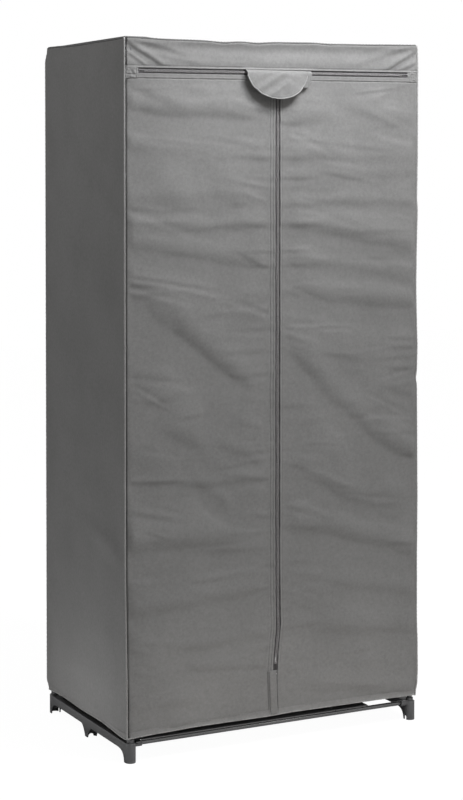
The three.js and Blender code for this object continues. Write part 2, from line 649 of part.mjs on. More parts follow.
// Front: header band over the top zip, closed skirt under the vertical zip, patches at the zip ends
function headerBand() {
  const bottom = TOP_ZIP_HEIGHT + TOP_ZIP_OPENING_UP;
  const place = (u, v) => {
    const x = mix(-PANEL_X, PANEL_X, u);
    const folds = HEADER_FOLD_DEPTH * foldDepth(HEADER_FOLD_SHARES, v - 1 / 2, u);
    const y = FRONT - folds * edgeEase(v, 0, EDGE_RISE_SHARE * 2) * edgeEase(u, 0, EDGE_FLAT_SHARE);
    return new THREE.Vector3(x, y, mix(bottom, COVER_TOP - dipAt(x), v));
  };
  return sheet(evenly(24), evenly(3), place, inFront);
}

function flatFront(left, right, bottom, top, columns) {
  const place = (u, v) => new THREE.Vector3(mix(left, right, u), FRONT, mix(bottom, top, v));
  return sheet(evenly(columns), evenly(1), place, inFront);
}

const doorTop = TOP_ZIP_HEIGHT - TOP_ZIP_OPENING_DOWN;
const doorBottom = SKIRT_TOP + CLEARANCE;
const patchBottom = doorTop + CLEARANCE;
const patchTop = TOP_ZIP_HEIGHT + TOP_ZIP_OPENING_UP - CLEARANCE;
const patchInner = TOP_ZIP_HALF_LENGTH + CLEARANCE;
place(cover, "cover_front_header", headerBand(), greyCloth());
place(cover, "cover_front_skirt", flatFront(-PANEL_X, PANEL_X, HEM_HEIGHT, SKIRT_TOP, 12), greyCloth());
place(cover, "header_corner_left", flatFront(-PANEL_X, -patchInner, patchBottom, patchTop, 1), greyCloth());
place(cover, "header_corner_right", flatFront(patchInner, PANEL_X, patchBottom, patchTop, 1), greyCloth());

// Doors: each reaches from its piped corner to the vertical zip
function door(outer, inner, folds) {
  const left = Math.min(outer, inner);
  const right = Math.max(outer, inner);
  const place = (u, v) => {
    const ease = edgeEase(u, EDGE_FLAT_SHARE, EDGE_RISE_SHARE) * edgeEase(v, END_FLAT_SHARE, END_RISE_SHARE);
    const y = FRONT - FOLD_DEPTH * foldDepth(folds, u, v) * ease;
    return new THREE.Vector3(mix(left, right, u), y, mix(doorBottom, doorTop, v));
  };
  return sheet(evenly(9), evenly(40), place, inFront);
}

place(cover, "door_left", door(-PANEL_X, ZIP_X - ZIP_OPENING, LEFT_DOOR_FOLD_SHARES), greyCloth());
place(cover, "door_right", door(PANEL_X, ZIP_X + ZIP_OPENING, RIGHT_DOOR_FOLD_SHARES), greyCloth());

// Piped seams down the four corners and round the top
function ringedTube(rings, sides, closed) {
  const faces = [];
  const at = (ring, side) => (ring % rings.length) * sides + (side % sides);
  const last = closed ? rings.length : rings.length - 1;
  for (let ring = 0; ring < last; ring += 1) {
    for (let side = 0; side < sides; side += 1) {
      faces.push(at(ring, side), at(ring, side + 1), at(ring + 1, side + 1));
      faces.push(at(ring, side), at(ring + 1, side + 1), at(ring + 1, side));
    }
  }
  for (let side = 1; !closed && side < sides - 1; side += 1) {
    faces.push(at(0, 0), at(0, side + 1), at(0, side));
    faces.push(at(rings.length - 1, 0), at(rings.length - 1, side), at(rings.length - 1, side + 1));
  }
  return indexed(rings.flat(2), faces);
}

function cornerPiping(signX, signY, slackSide, slackBack) {
  const rings = levels.map((z) => {
    const x = signX * (PIPING_X + slackSide * slackAt(z));
    const y = signY * (PIPING_Y + slackBack * slackAt(z));
    return evenly(PIPING_SIDES).slice(1).map((turn) => {
      const angle = 2 * Math.PI * turn;
      return [x + PIPING_RADIUS * Math.cos(angle), y + PIPING_RADIUS * Math.sin(angle), z];
    });
  });
  return ringedTube(rings, PIPING_SIDES, false);
}

function topPiping() {
  const loopX = WIDTH / 2 - PIPING_RADIUS;
  const loopY = DEPTH / 2 - PIPING_RADIUS;
  const path = [];
  const run = (fromX, fromY, toX, toY, steps) => {
    for (const share of evenly(steps).slice(1, -1)) {
      path.push([mix(fromX, toX, share), mix(fromY, toY, share)]);
    }
  };
  const bend = (centreX, centreY, quarter) => {
    for (const share of evenly(TOP_CORNER_STEPS)) {
      const angle = (quarter + share) * Math.PI / 2;
      const outX = TOP_CORNER_RADIUS * Math.cos(angle);
      const outY = TOP_CORNER_RADIUS * Math.sin(angle);
      path.push([centreX + outX, centreY + outY]);
    }
  };
  const bendX = loopX - TOP_CORNER_RADIUS;
  const bendY = loopY - TOP_CORNER_RADIUS;
  bend(-bendX, -bendY, 2);
  run(-bendX, -loopY, bendX, -loopY, 12);
  bend(bendX, -bendY, 3);
  bend(bendX, bendY, 0);
  bend(-bendX, bendY, 1);
  const rings = path.map(([x, y], k) => {
    const before = path[(k + path.length - 1) % path.length];
    const after = path[(k + 1) % path.length];
    const along = new THREE.Vector2(after[0] - before[0], after[1] - before[1]).normalize();
    const z = TOP_PIPING_HEIGHT - (y < -bendY ? dipAt(x) : 0);
    return evenly(PIPING_SIDES).slice(1).map((turn) => {
      const out = PIPING_RADIUS * Math.cos(2 * Math.PI * turn);
      const up = PIPING_RADIUS * Math.sin(-2 * Math.PI * turn);
      return [x + along.y * out, y - along.x * out, z + up];
    });
  });
  return ringedTube(rings, PIPING_SIDES, true);
}

place(cover, "piping_front_left", cornerPiping(-1, -1, 0, 0), greyPiping());
place(cover, "piping_front_right", cornerPiping(1, -1, 0, 0), greyPiping());
place(cover, "piping_back_left", cornerPiping(-1, 1, SLACK_LEFT, SLACK_BACK_LEFT), greyPiping());
place(cover, "piping_back_right", cornerPiping(1, 1, SLACK_RIGHT, SLACK_BACK_RIGHT), greyPiping());
place(cover, "piping_top", topPiping(), greyPiping());

// Zips: tape behind the cloth, coil between the cloth edges, one half on each side of the gap
const tapeFront = FRONT + CLOTH + CLEARANCE;
const tapeBack = tapeFront + TAPE;
const coilFront = FRONT - COIL_PROUD;
const sliderFront = coilFront - CLEARANCE - SLIDER_PLATE;

function zipHalf(opening, toOutline) {
  const near = COIL_GAP / 2;
  const far = near + COIL_WIDTH;
  const edge = opening + TAPE_TUCK;
  const section = [
    [near, tapeBack], [near, coilFront + COIL_CHAMFER], [near + COIL_CHAMFER, coilFront],
    [far - COIL_CHAMFER, coilFront], [far, coilFront + COIL_CHAMFER], [far, tapeFront],
    [edge, tapeFront], [edge, tapeBack],
  ];
  return outlineOf(section.map(([away, y]) => toOutline(away, y)));
}

const centreBayBottom = CENTRE_SLIDER_HEIGHT - SLIDER_LENGTH / 2 - CLEARANCE;
const lowestSlider = SKIRT_TOP + PARK_ROOM + SLIDER_LENGTH / 2;
const lowBayTop = lowestSlider + SLIDER_LENGTH / 2 + PARK_ROOM;
const sideBay = TOP_ZIP_HALF_LENGTH - 2 * PARK_ROOM - SLIDER_LENGTH;
const zipLeftHalf = zipHalf(ZIP_OPENING, (away, y) => [ZIP_X - away, y]);
const zipRightHalf = zipHalf(ZIP_OPENING, (away, y) => [ZIP_X + away, y]);
const zipUpperHalf = zipHalf(TOP_ZIP_OPENING_UP, (away, y) => [y, TOP_ZIP_HEIGHT + away]);
const zipLowerHalf = zipHalf(TOP_ZIP_OPENING_DOWN, (away, y) => [y, TOP_ZIP_HEIGHT - away]);
const leftSliderX = ZIP_X - SIDE_SLIDER_ROOM;
const rightSliderX = ZIP_X + SIDE_SLIDER_ROOM;
const bayReach = SLIDER_LENGTH / 2 + PARK_ROOM;
const headerZip = extrudeX(zipUpperHalf, -TOP_ZIP_HALF_LENGTH, TOP_ZIP_HALF_LENGTH);
place(fastening, "zip_header", headerZip, zipTape());
place(fastening, "zip_top_left", extrudeX(zipLowerHalf, -sideBay, leftSliderX - bayReach), zipTape());
place(fastening, "zip_top_right", extrudeX(zipLowerHalf, rightSliderX + bayReach, sideBay), zipTape());
place(fastening, "zip_left", extrudeZ(zipLeftHalf, lowBayTop, centreBayBottom), zipTape());
place(fastening, "zip_right", extrudeZ(zipRightHalf, lowBayTop, centreBayBottom), zipTape());

const stop = new THREE.BoxGeometry(STOP_WIDTH, STOP_THICKNESS, STOP_LENGTH);
const stopY = FRONT - CLEARANCE - STOP_THICKNESS / 2;
place(fastening, "zip_stop", stop, sliderMetal(), ZIP_X, stopY, SKIRT_TOP - PARK_ROOM - STOP_LENGTH / 2);

// Sliders: two waisted plates on a thin wedge that runs in the gap of the coil, and a bail in front
function sliderPlate(from, to) {
  const half = SLIDER_WIDTH / 2;
  const tail = SLIDER_TAIL / 2;
  const end = SLIDER_LENGTH / 2;
  const outline = new THREE.Shape();
  outline.moveTo(-tail, -end);
  outline.lineTo(tail, -end);
  outline.quadraticCurveTo(tail, 0, half, end / 2);
  outline.quadraticCurveTo(half, end, 0, end);
  outline.quadraticCurveTo(-half, end, -half, end / 2);
  outline.quadraticCurveTo(-tail, 0, -tail, -end);
  return extrudeY(outline, from, to);
}

const bailInner = sliderFront - 2 * CLEARANCE - PULL_THICKNESS;
const bailOuter = bailInner - BAIL_BAR;

function bail() {
  const root = sliderFront + SLIDER_PLATE / 2;
  const inner = BAIL_OPENING / 2;
  const outer = inner + BAIL_BAR;
  const outline = outlineOf([
    [root, -outer], [bailOuter, -outer], [bailOuter, outer], [root, outer],
    [root, inner], [bailInner, inner], [bailInner, -inner], [root, -inner],
  ]);
  return extrudeX(outline, -BAIL_WIDTH / 2, BAIL_WIDTH / 2);
}

// The plates turn with the run of the zip, while the bail always hangs the pull downwards.
function slider(turn) {
  const backFrom = tapeBack + CLEARANCE;
  const wedgeDepth = backFrom + SLIDER_PLATE / 2 - sliderFront - SLIDER_PLATE / 2;
  const wedge = new THREE.BoxGeometry(SLIDER_WEB, wedgeDepth, SLIDER_WEB_LENGTH)
    .translate(0, (backFrom + sliderFront + SLIDER_PLATE) / 2, 0);
  const plates = [sliderPlate(backFrom, backFrom + SLIDER_PLATE), wedge];
  const front = solidOf(sliderPlate(sliderFront, sliderFront + SLIDER_PLATE).rotateY(turn));
  return geometryOf(joined(front, [...plates.map((piece) => piece.rotateY(turn)), bail()]));
}

function pull() {
  const half = PULL_WIDTH / 2;
  const bar = PULL_THICKNESS / 2;
  const window = BAIL_WIDTH / 2 + CLEARANCE;
  const outline = new THREE.Shape();
  outline.moveTo(-half, bar);
  outline.lineTo(-half, bar - PULL_LENGTH + PULL_ROUND);
  outline.quadraticCurveTo(-half, bar - PULL_LENGTH, PULL_ROUND - half, bar - PULL_LENGTH);
  outline.lineTo(half - PULL_ROUND, bar - PULL_LENGTH);
  outline.quadraticCurveTo(half, bar - PULL_LENGTH, half, bar - PULL_LENGTH + PULL_ROUND);
  outline.lineTo(half, bar);
  outline.closePath();
  outline.holes.push(outlineOf([
    [-window, -bar], [window, -bar], [window, -PULL_WINDOW], [-window, -PULL_WINDOW],
  ]));
  const grip = new THREE.Path();
  grip.absarc(0, 2 * PULL_ROUND - PULL_LENGTH, PULL_HOLE, 0, 2 * Math.PI, true);
  outline.holes.push(grip);
  return extrudeY(outline, -bar, bar);
}

const pullY = (sliderFront + bailInner) / 2;
const parked = [
  ["centre", ZIP_X, CENTRE_SLIDER_HEIGHT, 0],
  ["left", leftSliderX, TOP_ZIP_HEIGHT, -Math.PI / 2],
  ["right", rightSliderX, TOP_ZIP_HEIGHT, Math.PI / 2],
];
for (const [where, x, z, turn] of parked) {
  place(fastening, `slider_${where}`, slider(turn), sliderMetal(), x, 0, z);
  place(fastening, `pull_${where}`, pull(), sliderMetal(), x, pullY, z);
}

// Flap: two quarter ellipses that meet at its lowest point, with a lane for the sliders behind it
const flapTop = TOP_ZIP_HEIGHT + TOP_ZIP_OPENING_UP;

function flapStand(x, drop) {
  const free = eased((FLAP_LOW_X + FLAP_RIGHT - x) / FLAP_RIGHT_RUN);
  const off = 1 - Math.exp(-drop / FLAP_STAND_RUN);
  return FLAP_REST + (FLAP_LANE + free * FLAP_STAND) * off + free * FLAP_LEAN_SHARE * drop;
}

function flapPoint(x, drop) {
  return new THREE.Vector3(x, FRONT - CLEARANCE - CLOTH - flapStand(x, drop), flapTop - drop);
}

function flapSheet() {
  const place = (u, v) => {
    const turn = mix(-FLAP_END_SHARE, FLAP_END_SHARE, u);
    const across = Math.sin(turn * Math.PI / 2) * FLAP_END_SHARE;
    const x = FLAP_LOW_X + across * (across < 0 ? FLAP_LEFT : FLAP_RIGHT);
    const depth = FLAP_DEPTH * Math.sqrt(1 - across * across);
    return flapPoint(x, depth * (1 - v) ** 2);
  };
  return sheet(evenly(16), evenly(8), place, inFront);
}

function facingSheet() {
  const right = FLAP_LOW_X + FLAP_RIGHT;
  const place = (u, v) => {
    const x = mix(right - FACING_TUCK, right + FACING_REACH, u);
    const depth = FACING_DEPTH * Math.sqrt(1 - u * u * FLAP_END_SHARE * FLAP_END_SHARE);
    return flapPoint(x, depth * (1 - v) ** 2);
  };
  return sheet(evenly(6), evenly(4), place, inFront);
}

const flapLift = CLOTH + 2 * CLEARANCE;
place(fastening, "flap", flapSheet().translate(0, -flapLift, 0), greyCloth());
place(fastening, "flap_facing", facingSheet(), greyCloth());

export default wardrobe;
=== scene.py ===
import math
import bpy
import numpy as np
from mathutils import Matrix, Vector


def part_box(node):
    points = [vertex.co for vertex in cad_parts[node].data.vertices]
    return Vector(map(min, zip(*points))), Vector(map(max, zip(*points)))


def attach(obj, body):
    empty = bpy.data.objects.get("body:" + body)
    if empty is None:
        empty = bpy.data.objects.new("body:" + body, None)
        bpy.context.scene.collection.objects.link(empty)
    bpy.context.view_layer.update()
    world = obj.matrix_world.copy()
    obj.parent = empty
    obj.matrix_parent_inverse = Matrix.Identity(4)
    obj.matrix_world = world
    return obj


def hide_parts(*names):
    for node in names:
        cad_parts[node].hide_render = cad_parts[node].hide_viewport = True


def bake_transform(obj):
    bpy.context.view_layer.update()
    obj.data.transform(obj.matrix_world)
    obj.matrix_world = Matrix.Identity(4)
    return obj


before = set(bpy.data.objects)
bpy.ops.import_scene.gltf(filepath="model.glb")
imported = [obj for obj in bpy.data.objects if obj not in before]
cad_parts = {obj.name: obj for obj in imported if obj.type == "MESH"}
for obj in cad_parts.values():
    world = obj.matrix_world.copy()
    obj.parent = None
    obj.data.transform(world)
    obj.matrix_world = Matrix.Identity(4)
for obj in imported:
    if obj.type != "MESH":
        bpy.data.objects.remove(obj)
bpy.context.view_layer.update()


# End rails: on each side one black moulding below, standing on two round corner feet and a
# middle foot, and one above. Fine grain, with the skin rubbed paler along the edges.
class Surface:
    """A material (or the world) and short calls for the nodes that give it its look."""

    def __init__(self, name, owner=None):
        self.owner = owner or bpy.data.materials.new(name)
        self.owner.use_nodes = True
        self.tree = self.owner.node_tree

    def feed(self, node, inputs):
        for key, value in inputs.items():
            if hasattr(value, "is_linked"):
                self.tree.links.new(value, node.inputs[key])
            else:
                node.inputs[key].default_value = value

    def add(self, kind, inputs=(), **settings):
        node = self.tree.nodes.new("ShaderNode" + kind)
        for key, value in settings.items():
            setattr(node, key, value)
        self.feed(node, dict(inputs))
        return node

    def place(self):
        return self.add("TexCoord").outputs["Object"]

    def noise(self, scale, detail, noise_type="FBM", **inputs):
        inputs = {"Vector": self.place(), "Scale": scale, "Detail": detail, **inputs}
        return self.add("TexNoise", inputs, noise_type=noise_type).outputs["Fac"]

    def maths(self, operation, one, two=0):
        return self.add("Math", {0: one, 1: two}, operation=operation).outputs[0]

    def weave(self, axes, pitch):
        """Two crossed sine waves: a plain weave, or rows of dots."""
        place = self.add("SeparateXYZ", {"Vector": self.place()}).outputs
        turns = [self.maths("MULTIPLY", place[axis], 2 * math.pi / pitch) for axis in axes]
        return self.maths("MULTIPLY", *[self.maths("SINE", turn) for turn in turns])

    def ramp(self, source, *stops):
        """From one (position, value) to the next; a value is a grey or a colour."""
        node = self.add("ValToRGB", {"Fac": source})
        for element, (position, value) in zip(node.color_ramp.elements, stops):
            element.position = position
            element.color = (*value, 1) if hasattr(value, "__len__") else (value, value, value, 1)
        return node.outputs["Color"]

    def mix(self, share, one, two, blend_type="MIX"):
        inputs = {0: share, "A": one, "B": two}
        return self.add("Mix", inputs, data_type="RGBA", blend_type=blend_type).outputs["Result"]

    def edges(self, full):
        """1 where an edge is sharp enough to be worn, 0 on flat and hollow places."""
        return self.ramp(self.add("NewGeometry").outputs["Pointiness"], (0.5, 0), (full, 1))

    def bump(self, height, strength, distance, **inputs):
        inputs = {"Height": height, "Strength": strength, "Distance": distance, **inputs}
        return self.add("Bump", inputs).outputs["Normal"]

    def finish(self, inputs):
        self.feed(self.tree.nodes["Principled BSDF"], inputs)
        return self.owner


def dress(nodes, material):
    for node in nodes:
        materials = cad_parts[node].data.materials
        materials.clear()
        materials.append(material)


plastic = Surface("rail_black")
cloud, grain = plastic.noise(38, 6), plastic.noise(1900, 3)
black = plastic.ramp(cloud, (0.3, (0.053, 0.053, 0.054)), (0.75, (0.085, 0.085, 0.085)))
rounded = {"Radius": 0.0009, "Normal": plastic.bump(grain, 0.35, 0.0002)}
rail_black = plastic.finish({
    "Base Color": plastic.mix(plastic.edges(0.56), black, (0.11, 0.11, 0.112, 1)),
    "Roughness": plastic.ramp(cloud, (0.3, 0.42), (0.8, 0.6)),
    "Normal": plastic.add("Bevel", rounded, samples=4).outputs["Normal"],
    "Specular IOR Level": 0.45,
})
for where in ("left", "right"):
    dress([f"bottom_end_rail_{where}", f"top_end_rail_{where}"], rail_black)


# Steel tubes: uprights in two halves, cross tubes and the hanging rail. Drawn tube with a thin
# black powder coat and a few pale specks, cut square with a small rolled lip.
MM = 0.001
X, Z = 0, 2
UPRIGHT_RADIUS, CROSS_RADIUS = 6, 5
TUBE_WALL, TUBE_LIP = 0.8, 0.5
CORNERS = ("front_left", "front_right", "back_left", "back_right")


def mesh_piece(name, vertices, faces, smooth=True):
    mesh = bpy.data.meshes.new(name)
    points = [tuple(point) for point in np.asarray(vertices, float)]
    mesh.from_pydata(points, [], [tuple(face) for face in faces])
    mesh.polygons.foreach_set("use_smooth", [smooth] * len(mesh.polygons))
    mesh.update()
    piece = bpy.data.objects.new(name, mesh)
    bpy.context.scene.collection.objects.link(piece)
    return piece


def seat(piece, material, body="wardrobe", stands_for=()):
    piece.data.materials.append(material)
    if body:
        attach(piece, body)
    if stands_for:
        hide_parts(*stands_for)
    return piece


def ring_faces(rings, sides, closed):
    """Faces of a tube made of rings of points; an open tube gets a cap at each end."""
    index = np.arange(rings * sides).reshape(rings, sides)
    if closed:
        index = np.vstack([index, index[:1]])
    beside = np.roll(index, -1, axis=1)
    faces = np.stack([index[:-1], beside[:-1], beside[1:], index[1:]], axis=-1).reshape(-1, 4)
    caps = [] if closed else [index[0, ::-1].tolist(), index[-1].tolist()]
    return faces.tolist() + caps


def turned(name, axis, start, stations, sides=32):
    """A closed turned piece along one axis: stations are (distance, radius) in millimetres."""
    one, two = [(1, 2), (2, 0), (0, 1)][axis]
    points = []
    for along, radius in stations:
        for k in range(sides):
            point = np.array(start, float)
            point[axis] += along
            point[one] += radius * math.cos(2 * math.pi * k / sides)
            point[two] += radius * math.sin(2 * math.pi * k / sides)
            points.append(point * MM)
    return mesh_piece(name, points, ring_faces(len(stations), sides, closed=True))


def mirrored(stations, length):
    return stations + [(length - at, radius) for at, radius in reversed(stations)]


coat = Surface("tube_coat")
cloud, peel = coat.noise(22, 5), coat.noise(900, 2)
specks = coat.add("TexVoronoi", {"Vector": coat.place(), "Scale": 260}).outputs["Distance"]
black = coat.ramp(cloud, (0.3, (0.04, 0.04, 0.041)), (0.7, (0.06, 0.06, 0.061)))
tube_coat = coat.finish({
    "Base Color": coat.mix(coat.ramp(specks, (0.04, 1), (0.09, 0)), black, (0.12, 0.12, 0.12, 1)),
    "Roughness": coat.ramp(cloud, (0.3, 0.2), (0.8, 0.3)),
    "Normal": coat.bump(peel, 0.25, 0.0001),
    "Metallic": 0.15, "Specular IOR Level": 0.9, "Coat Weight": 0.7, "Coat Roughness": 0.18,
})


def steel_tube(node, axis, radius):
    low, high = (np.array(corner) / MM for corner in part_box(node))
    start = (low + high) / 2
    start[axis] = low[axis]
    length = high[axis] - low[axis]
    lip, soft = TUBE_LIP, TUBE_LIP * 0.3
    outside = mirrored([(0, radius - lip), (soft, radius - soft), (lip, radius)], length)
    inside = [(length, radius - TUBE_WALL), (0, radius - TUBE_WALL)]
    piece = turned(f"tube_{node}", axis, start, outside + inside)
    piece.data.set_sharp_from_angle(angle=math.radians(50))
    seat(piece, tube_coat, stands_for=[node])


for corner in CORNERS:
    steel_tube(f"upright_lower_{corner}", Z, UPRIGHT_RADIUS)
    steel_tube(f"upright_upper_{corner}", Z, UPRIGHT_RADIUS)
for cross in ("bottom_tube_front", "bottom_tube_middle", "bottom_tube_back",
              "top_tube_front", "top_tube_back"):
    steel_tube(cross, X, CROSS_RADIUS)
steel_tube("hanging_rail", X, UPRIGHT_RADIUS)


# Sleeves over the joints half way up the uprights: black plastic, turned outside, with a raised
# band in the middle and a small lip at each mouth. The upright halves push in from both ends.
for corner in CORNERS:
    low, high = (np.array(point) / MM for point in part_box(f"coupler_{corner}"))
    radius, length = (high[0] - low[0]) / 2, high[2] - low[2]
    groove, band = radius - 0.5, length / 2 - 5
    stations = mirrored([
        (0, radius - 1.5), (0, radius - 0.6), (0.6, radius - 0.1), (2, radius), (4, radius),
        (5, groove), (band, groove), (band + 1, radius),
    ], length)
    foot = [(low[0] + high[0]) / 2, (low[1] + high[1]) / 2, low[2]]
    sleeve = turned(f"sleeve_{corner}", Z, foot, stations)
    seat(sleeve, rail_black, stands_for=[f"coupler_{corner}"])


# Floor boards: two loose charcoal boards laid on the lower tubes, the wide one notched round the
# middle socket. Pressed board with a faint fibre and paler scuffs.
board = Surface("board_charcoal")
fibre, scuffs = board.noise(420, 8, Roughness=0.7), board.noise(14, 7, Distortion=1.2)
charcoal = board.ramp(fibre, (0.3, (0.13, 0.13, 0.132)), (0.7, (0.19, 0.19, 0.192)))
rubbed = board.ramp(scuffs, (0.55, 0), (0.72, 0.4))
dress(["floor_board_wide", "floor_board_narrow"], board.finish({
    "Base Color": board.mix(rubbed, charcoal, (0.24, 0.238, 0.234, 1)),
    "Roughness": board.ramp(scuffs, (0.3, 0.7), (0.7, 0.9)),
    "Normal": board.bump(fibre, 0.4, 0.0002),
}))


# Cover panels of needle-bonded grey cloth, cut flat and sewn into a box: two sides, a back and a
# top. They hang slack on the frame, so they swell and crease softly between the seams.
HEM_HEIGHT, COVER_TOP = 57, 1594
FRONT, BACK, SIDE = -230, 230, 375
PANEL_X, PANEL_Y = 370.9, 225.4
OVER_HEM, UNDER_SEAM, UNDER_PIPING = 1.5, 4, 2.4
CLOTH_THICKNESS = 1.1
BOND_PITCH = 0.0026
AT_SEAM = 12
FRONT_TOP_EDGE = [
    (-372, 1597.2), (-330, 1596), (-290, 1594.2), (-190, 1594.2), (-165, 1593.3), (-150, 1591.4),
    (-135, 1590.8), (-120, 1592.8), (-100, 1594.4), (-85, 1594.4), (-70, 1592.8), (-52, 1591.7),
    (-28, 1594.3), (-10, 1595.6), (40, 1596.2), (98, 1597.6), (116, 1596.4), (134, 1595.4),
    (165, 1596.6), (230, 1597.2), (290, 1598.8), (372, 1600.4),
]
LEFT_TOP_EDGE = [
    (-229, 1597.2), (-205, 1595.8), (-170, 1594.9), (-40, 1595), (30, 1594.2), (98, 1595),
    (150, 1597.4), (229, 1599),
]
RIGHT_TOP_EDGE = [(-229, 1600.4), (-150, 1598.6), (-20, 1597.4), (90, 1598.4), (229, 1599.6)]
BACK_TOP_EDGE = [
    (-372, 1599), (-210, 1596.6), (-60, 1597.8), (110, 1596.2), (250, 1597.6), (372, 1599.6),
]
FRONT_HEM = [
    (-372, 53.5), (-364, 54.7), (-330, 56.7), (-261, 58.4), (-227, 60), (-121, 60), (-49, 59.3),
    (-13, 59.1), (24, 61.2), (98, 60.7), (211, 60), (300, 59.4), (345, 58.6), (372, 58),
]
LEFT_HEM = [
    (-226, 52), (-202, 50.8), (-148, 54.3), (-92, 57.9), (-35, 56.9), (24, 55.9), (84, 57.3),
    (145, 58.7), (208, 55.2), (226, 54),
]
RIGHT_HEM = [(-226, 58), (-150, 57), (-40, 57.6), (90, 55.8), (180, 58), (226, 55)]
BACK_HEM = [(-372, 54), (-250, 58), (-90, 56.4), (120, 59), (260, 57), (372, 54.5)]


def columns_of(rows):
    return (np.array(values, float) for values in zip(*rows))


def along_line(at, line):
    """Height on a line of (place, height) points, rounded off between them."""
    places, heights = columns_of(line)
    spread = np.linspace(-12, 12, 7)
    return np.mean([np.interp(at + shift, places, heights) for shift in spread], axis=0)


def smooth(share):
    t = np.clip(share, 0, 1)
    return t * t * (3 - 2 * t)


def dome(share, run):
    return smooth(share / run) * smooth((1 - share) / run)


def bell(away, width):
    return np.exp(-((away / width) ** 2))


def step(away):
    """A crease in section: sunk by 1 on one side of its line and proud by 1 on the other."""
    return away * np.exp(0.5 - 0.5 * away * away)


def slack_at(z):
    return smooth((z - HEM_HEIGHT) / 25) * smooth((COVER_TOP - z) / 35)


def ripple(across, up, size, depth, seed):
    """Faint unevenness of hanging cloth: shallow waves of about one size, in all directions."""
    rng = np.random.default_rng(seed)
    total = np.zeros_like(across)
    waves = 22
    for _ in range(waves):
        turn = rng.uniform(0, 2 * math.pi)
        pitch = size * rng.uniform(0.7, 1.5)
        wave = 2 * math.pi / pitch
        away = across * math.cos(turn) + up * math.sin(turn)
        total += np.sin(wave * away + rng.uniform(0, 6.3))
    return depth * total / math.sqrt(waves)


def creases(across, up, runs, seam_low, seam_high):
    """Creases across a panel, each (line, width, depth), that fade out short of a seam."""
    total = np.zeros_like(across)
    for line, width, depth in runs:
        xs, zs = columns_of(line)
        middle = np.interp(across, xs, zs)
        lean = np.interp(across, (xs[:-1] + xs[1:]) / 2, np.diff(zs) / np.diff(xs))
        away = (up - middle) / np.sqrt(1 + lean * lean) / width
        span = 0.45 * (xs[-1] - xs[0]) + 8
        begin = end = 1.0
        if abs(xs[0] - seam_low) >= AT_SEAM:
            begin = smooth((across - xs[0] + span / 2) / span)
        if abs(xs[-1] - seam_high) >= AT_SEAM:
            end = smooth((xs[-1] + span / 2 - across) / span)
        total += depth * begin * end * step(away)
    return total


def held_at_edges(across, up, left, right, bottom, top, run_side, run_end):
    sides = smooth((across - left) / run_side) * smooth((right - across) / run_side)
    return sides * smooth((up - bottom) / run_end) * smooth((top - up) / run_end)


def shares(count, *dense):
    """Shares from 0 to 1; each dense part (from, to, count) gets a closer spacing of its own."""
    line = np.linspace(0, 1, count + 1)
    for begin, end, extra in dense:
        outside = line[(line < begin) | (line > end)]
        line = np.concatenate([outside, np.linspace(begin, end, extra + 1)])
    return np.unique(np.round(line, 6))


def spots(x, y, z):
    return np.stack(np.broadcast_arrays(x, y, z), axis=-1).astype(float)


def cloth_piece(name, columns, rows, outer_face, thickness=CLOTH_THICKNESS):
    """A closed sheet from its outer face (u, v) in millimetres, with u x v pointing outwards."""
    grid = [shares(part) if np.isscalar(part) else part for part in (columns, rows)]
    u, v = np.meshgrid(*grid)
    face = spots(*outer_face(u, v))
    normal = np.cross(np.gradient(face, axis=1), np.gradient(face, axis=0))
    normal /= np.linalg.norm(normal, axis=-1, keepdims=True)
    layers = np.concatenate([face.reshape(-1, 3), (face - normal * thickness).reshape(-1, 3)])
    index = np.arange(u.size).reshape(u.shape)
    corners = [index[:-1, :-1], index[:-1, 1:], index[1:, 1:], index[1:, :-1]]
    quads = np.stack(corners, axis=-1).reshape(-1, 4)
    rim = np.concatenate([index[0, :], index[1:, -1], index[-1, -2::-1], index[-2:0:-1, 0]])
    after = np.roll(rim, -1)
    edge = np.stack([rim + u.size, after + u.size, after, rim], axis=-1)
    faces = np.concatenate([quads, quads[:, ::-1] + u.size, edge])
    return mesh_piece(name, layers * MM, faces.tolist())


def nonwoven(name, axes, grey=0.212):
    """Grey bonded polypropylene: rows of small bond dots, cloudy fibre, a dry soft sheen."""
    cloth = Surface(name)
    cloud, fibre = cloth.noise(150, 7, Roughness=0.78), cloth.noise(1500, 4, Roughness=0.8)
    stretched = cloth.add("Mapping", {"Vector": cloth.place(), "Scale": (0.55, 0.55, 1.0)})
    rumple = cloth.noise(17, 3, "RIDGED_MULTIFRACTAL", Vector=stretched.outputs["Vector"],
                         Roughness=0.45, Distortion=0.5)
    pressed = cloth.ramp(cloth.weave(axes, BOND_PITCH), (0.35, 1), (0.8, 0))
    dark, light = (0.81, 0.8, 0.785), (1.2, 1.185, 1.165)
    dark, light = ([grey * part for part in colour] for colour in (dark, light))
    mottled = cloth.ramp(cloud, (0.25, dark), (0.75, light))
    aged = cloth.ramp(cloth.noise(7, 4), (0.3, 0.93), (0.7, 1.05))
    tinted = cloth.mix(1, mottled, aged, "MULTIPLY")
    dotted = cloth.bump(pressed, 0.5, 0.00015, Normal=cloth.bump(rumple, 0.5, 0.0011))
    return cloth.finish({
        "Base Color": cloth.mix(0.12, tinted, pressed, "MULTIPLY"),
        "Roughness": cloth.ramp(cloud, (0.3, 0.86), (0.7, 0.97)),
        "Normal": cloth.bump(fibre, 0.35, 0.00012, Normal=dotted),
        "Specular IOR Level": 0.25, "Sheen Weight": 0.12, "Sheen Roughness": 0.6,
    })


side_cloth = nonwoven("cover_cloth_sides", (1, 2))
front_cloth = nonwoven("cover_cloth_front", (0, 2))
top_cloth = nonwoven("cover_cloth_top", (0, 1))

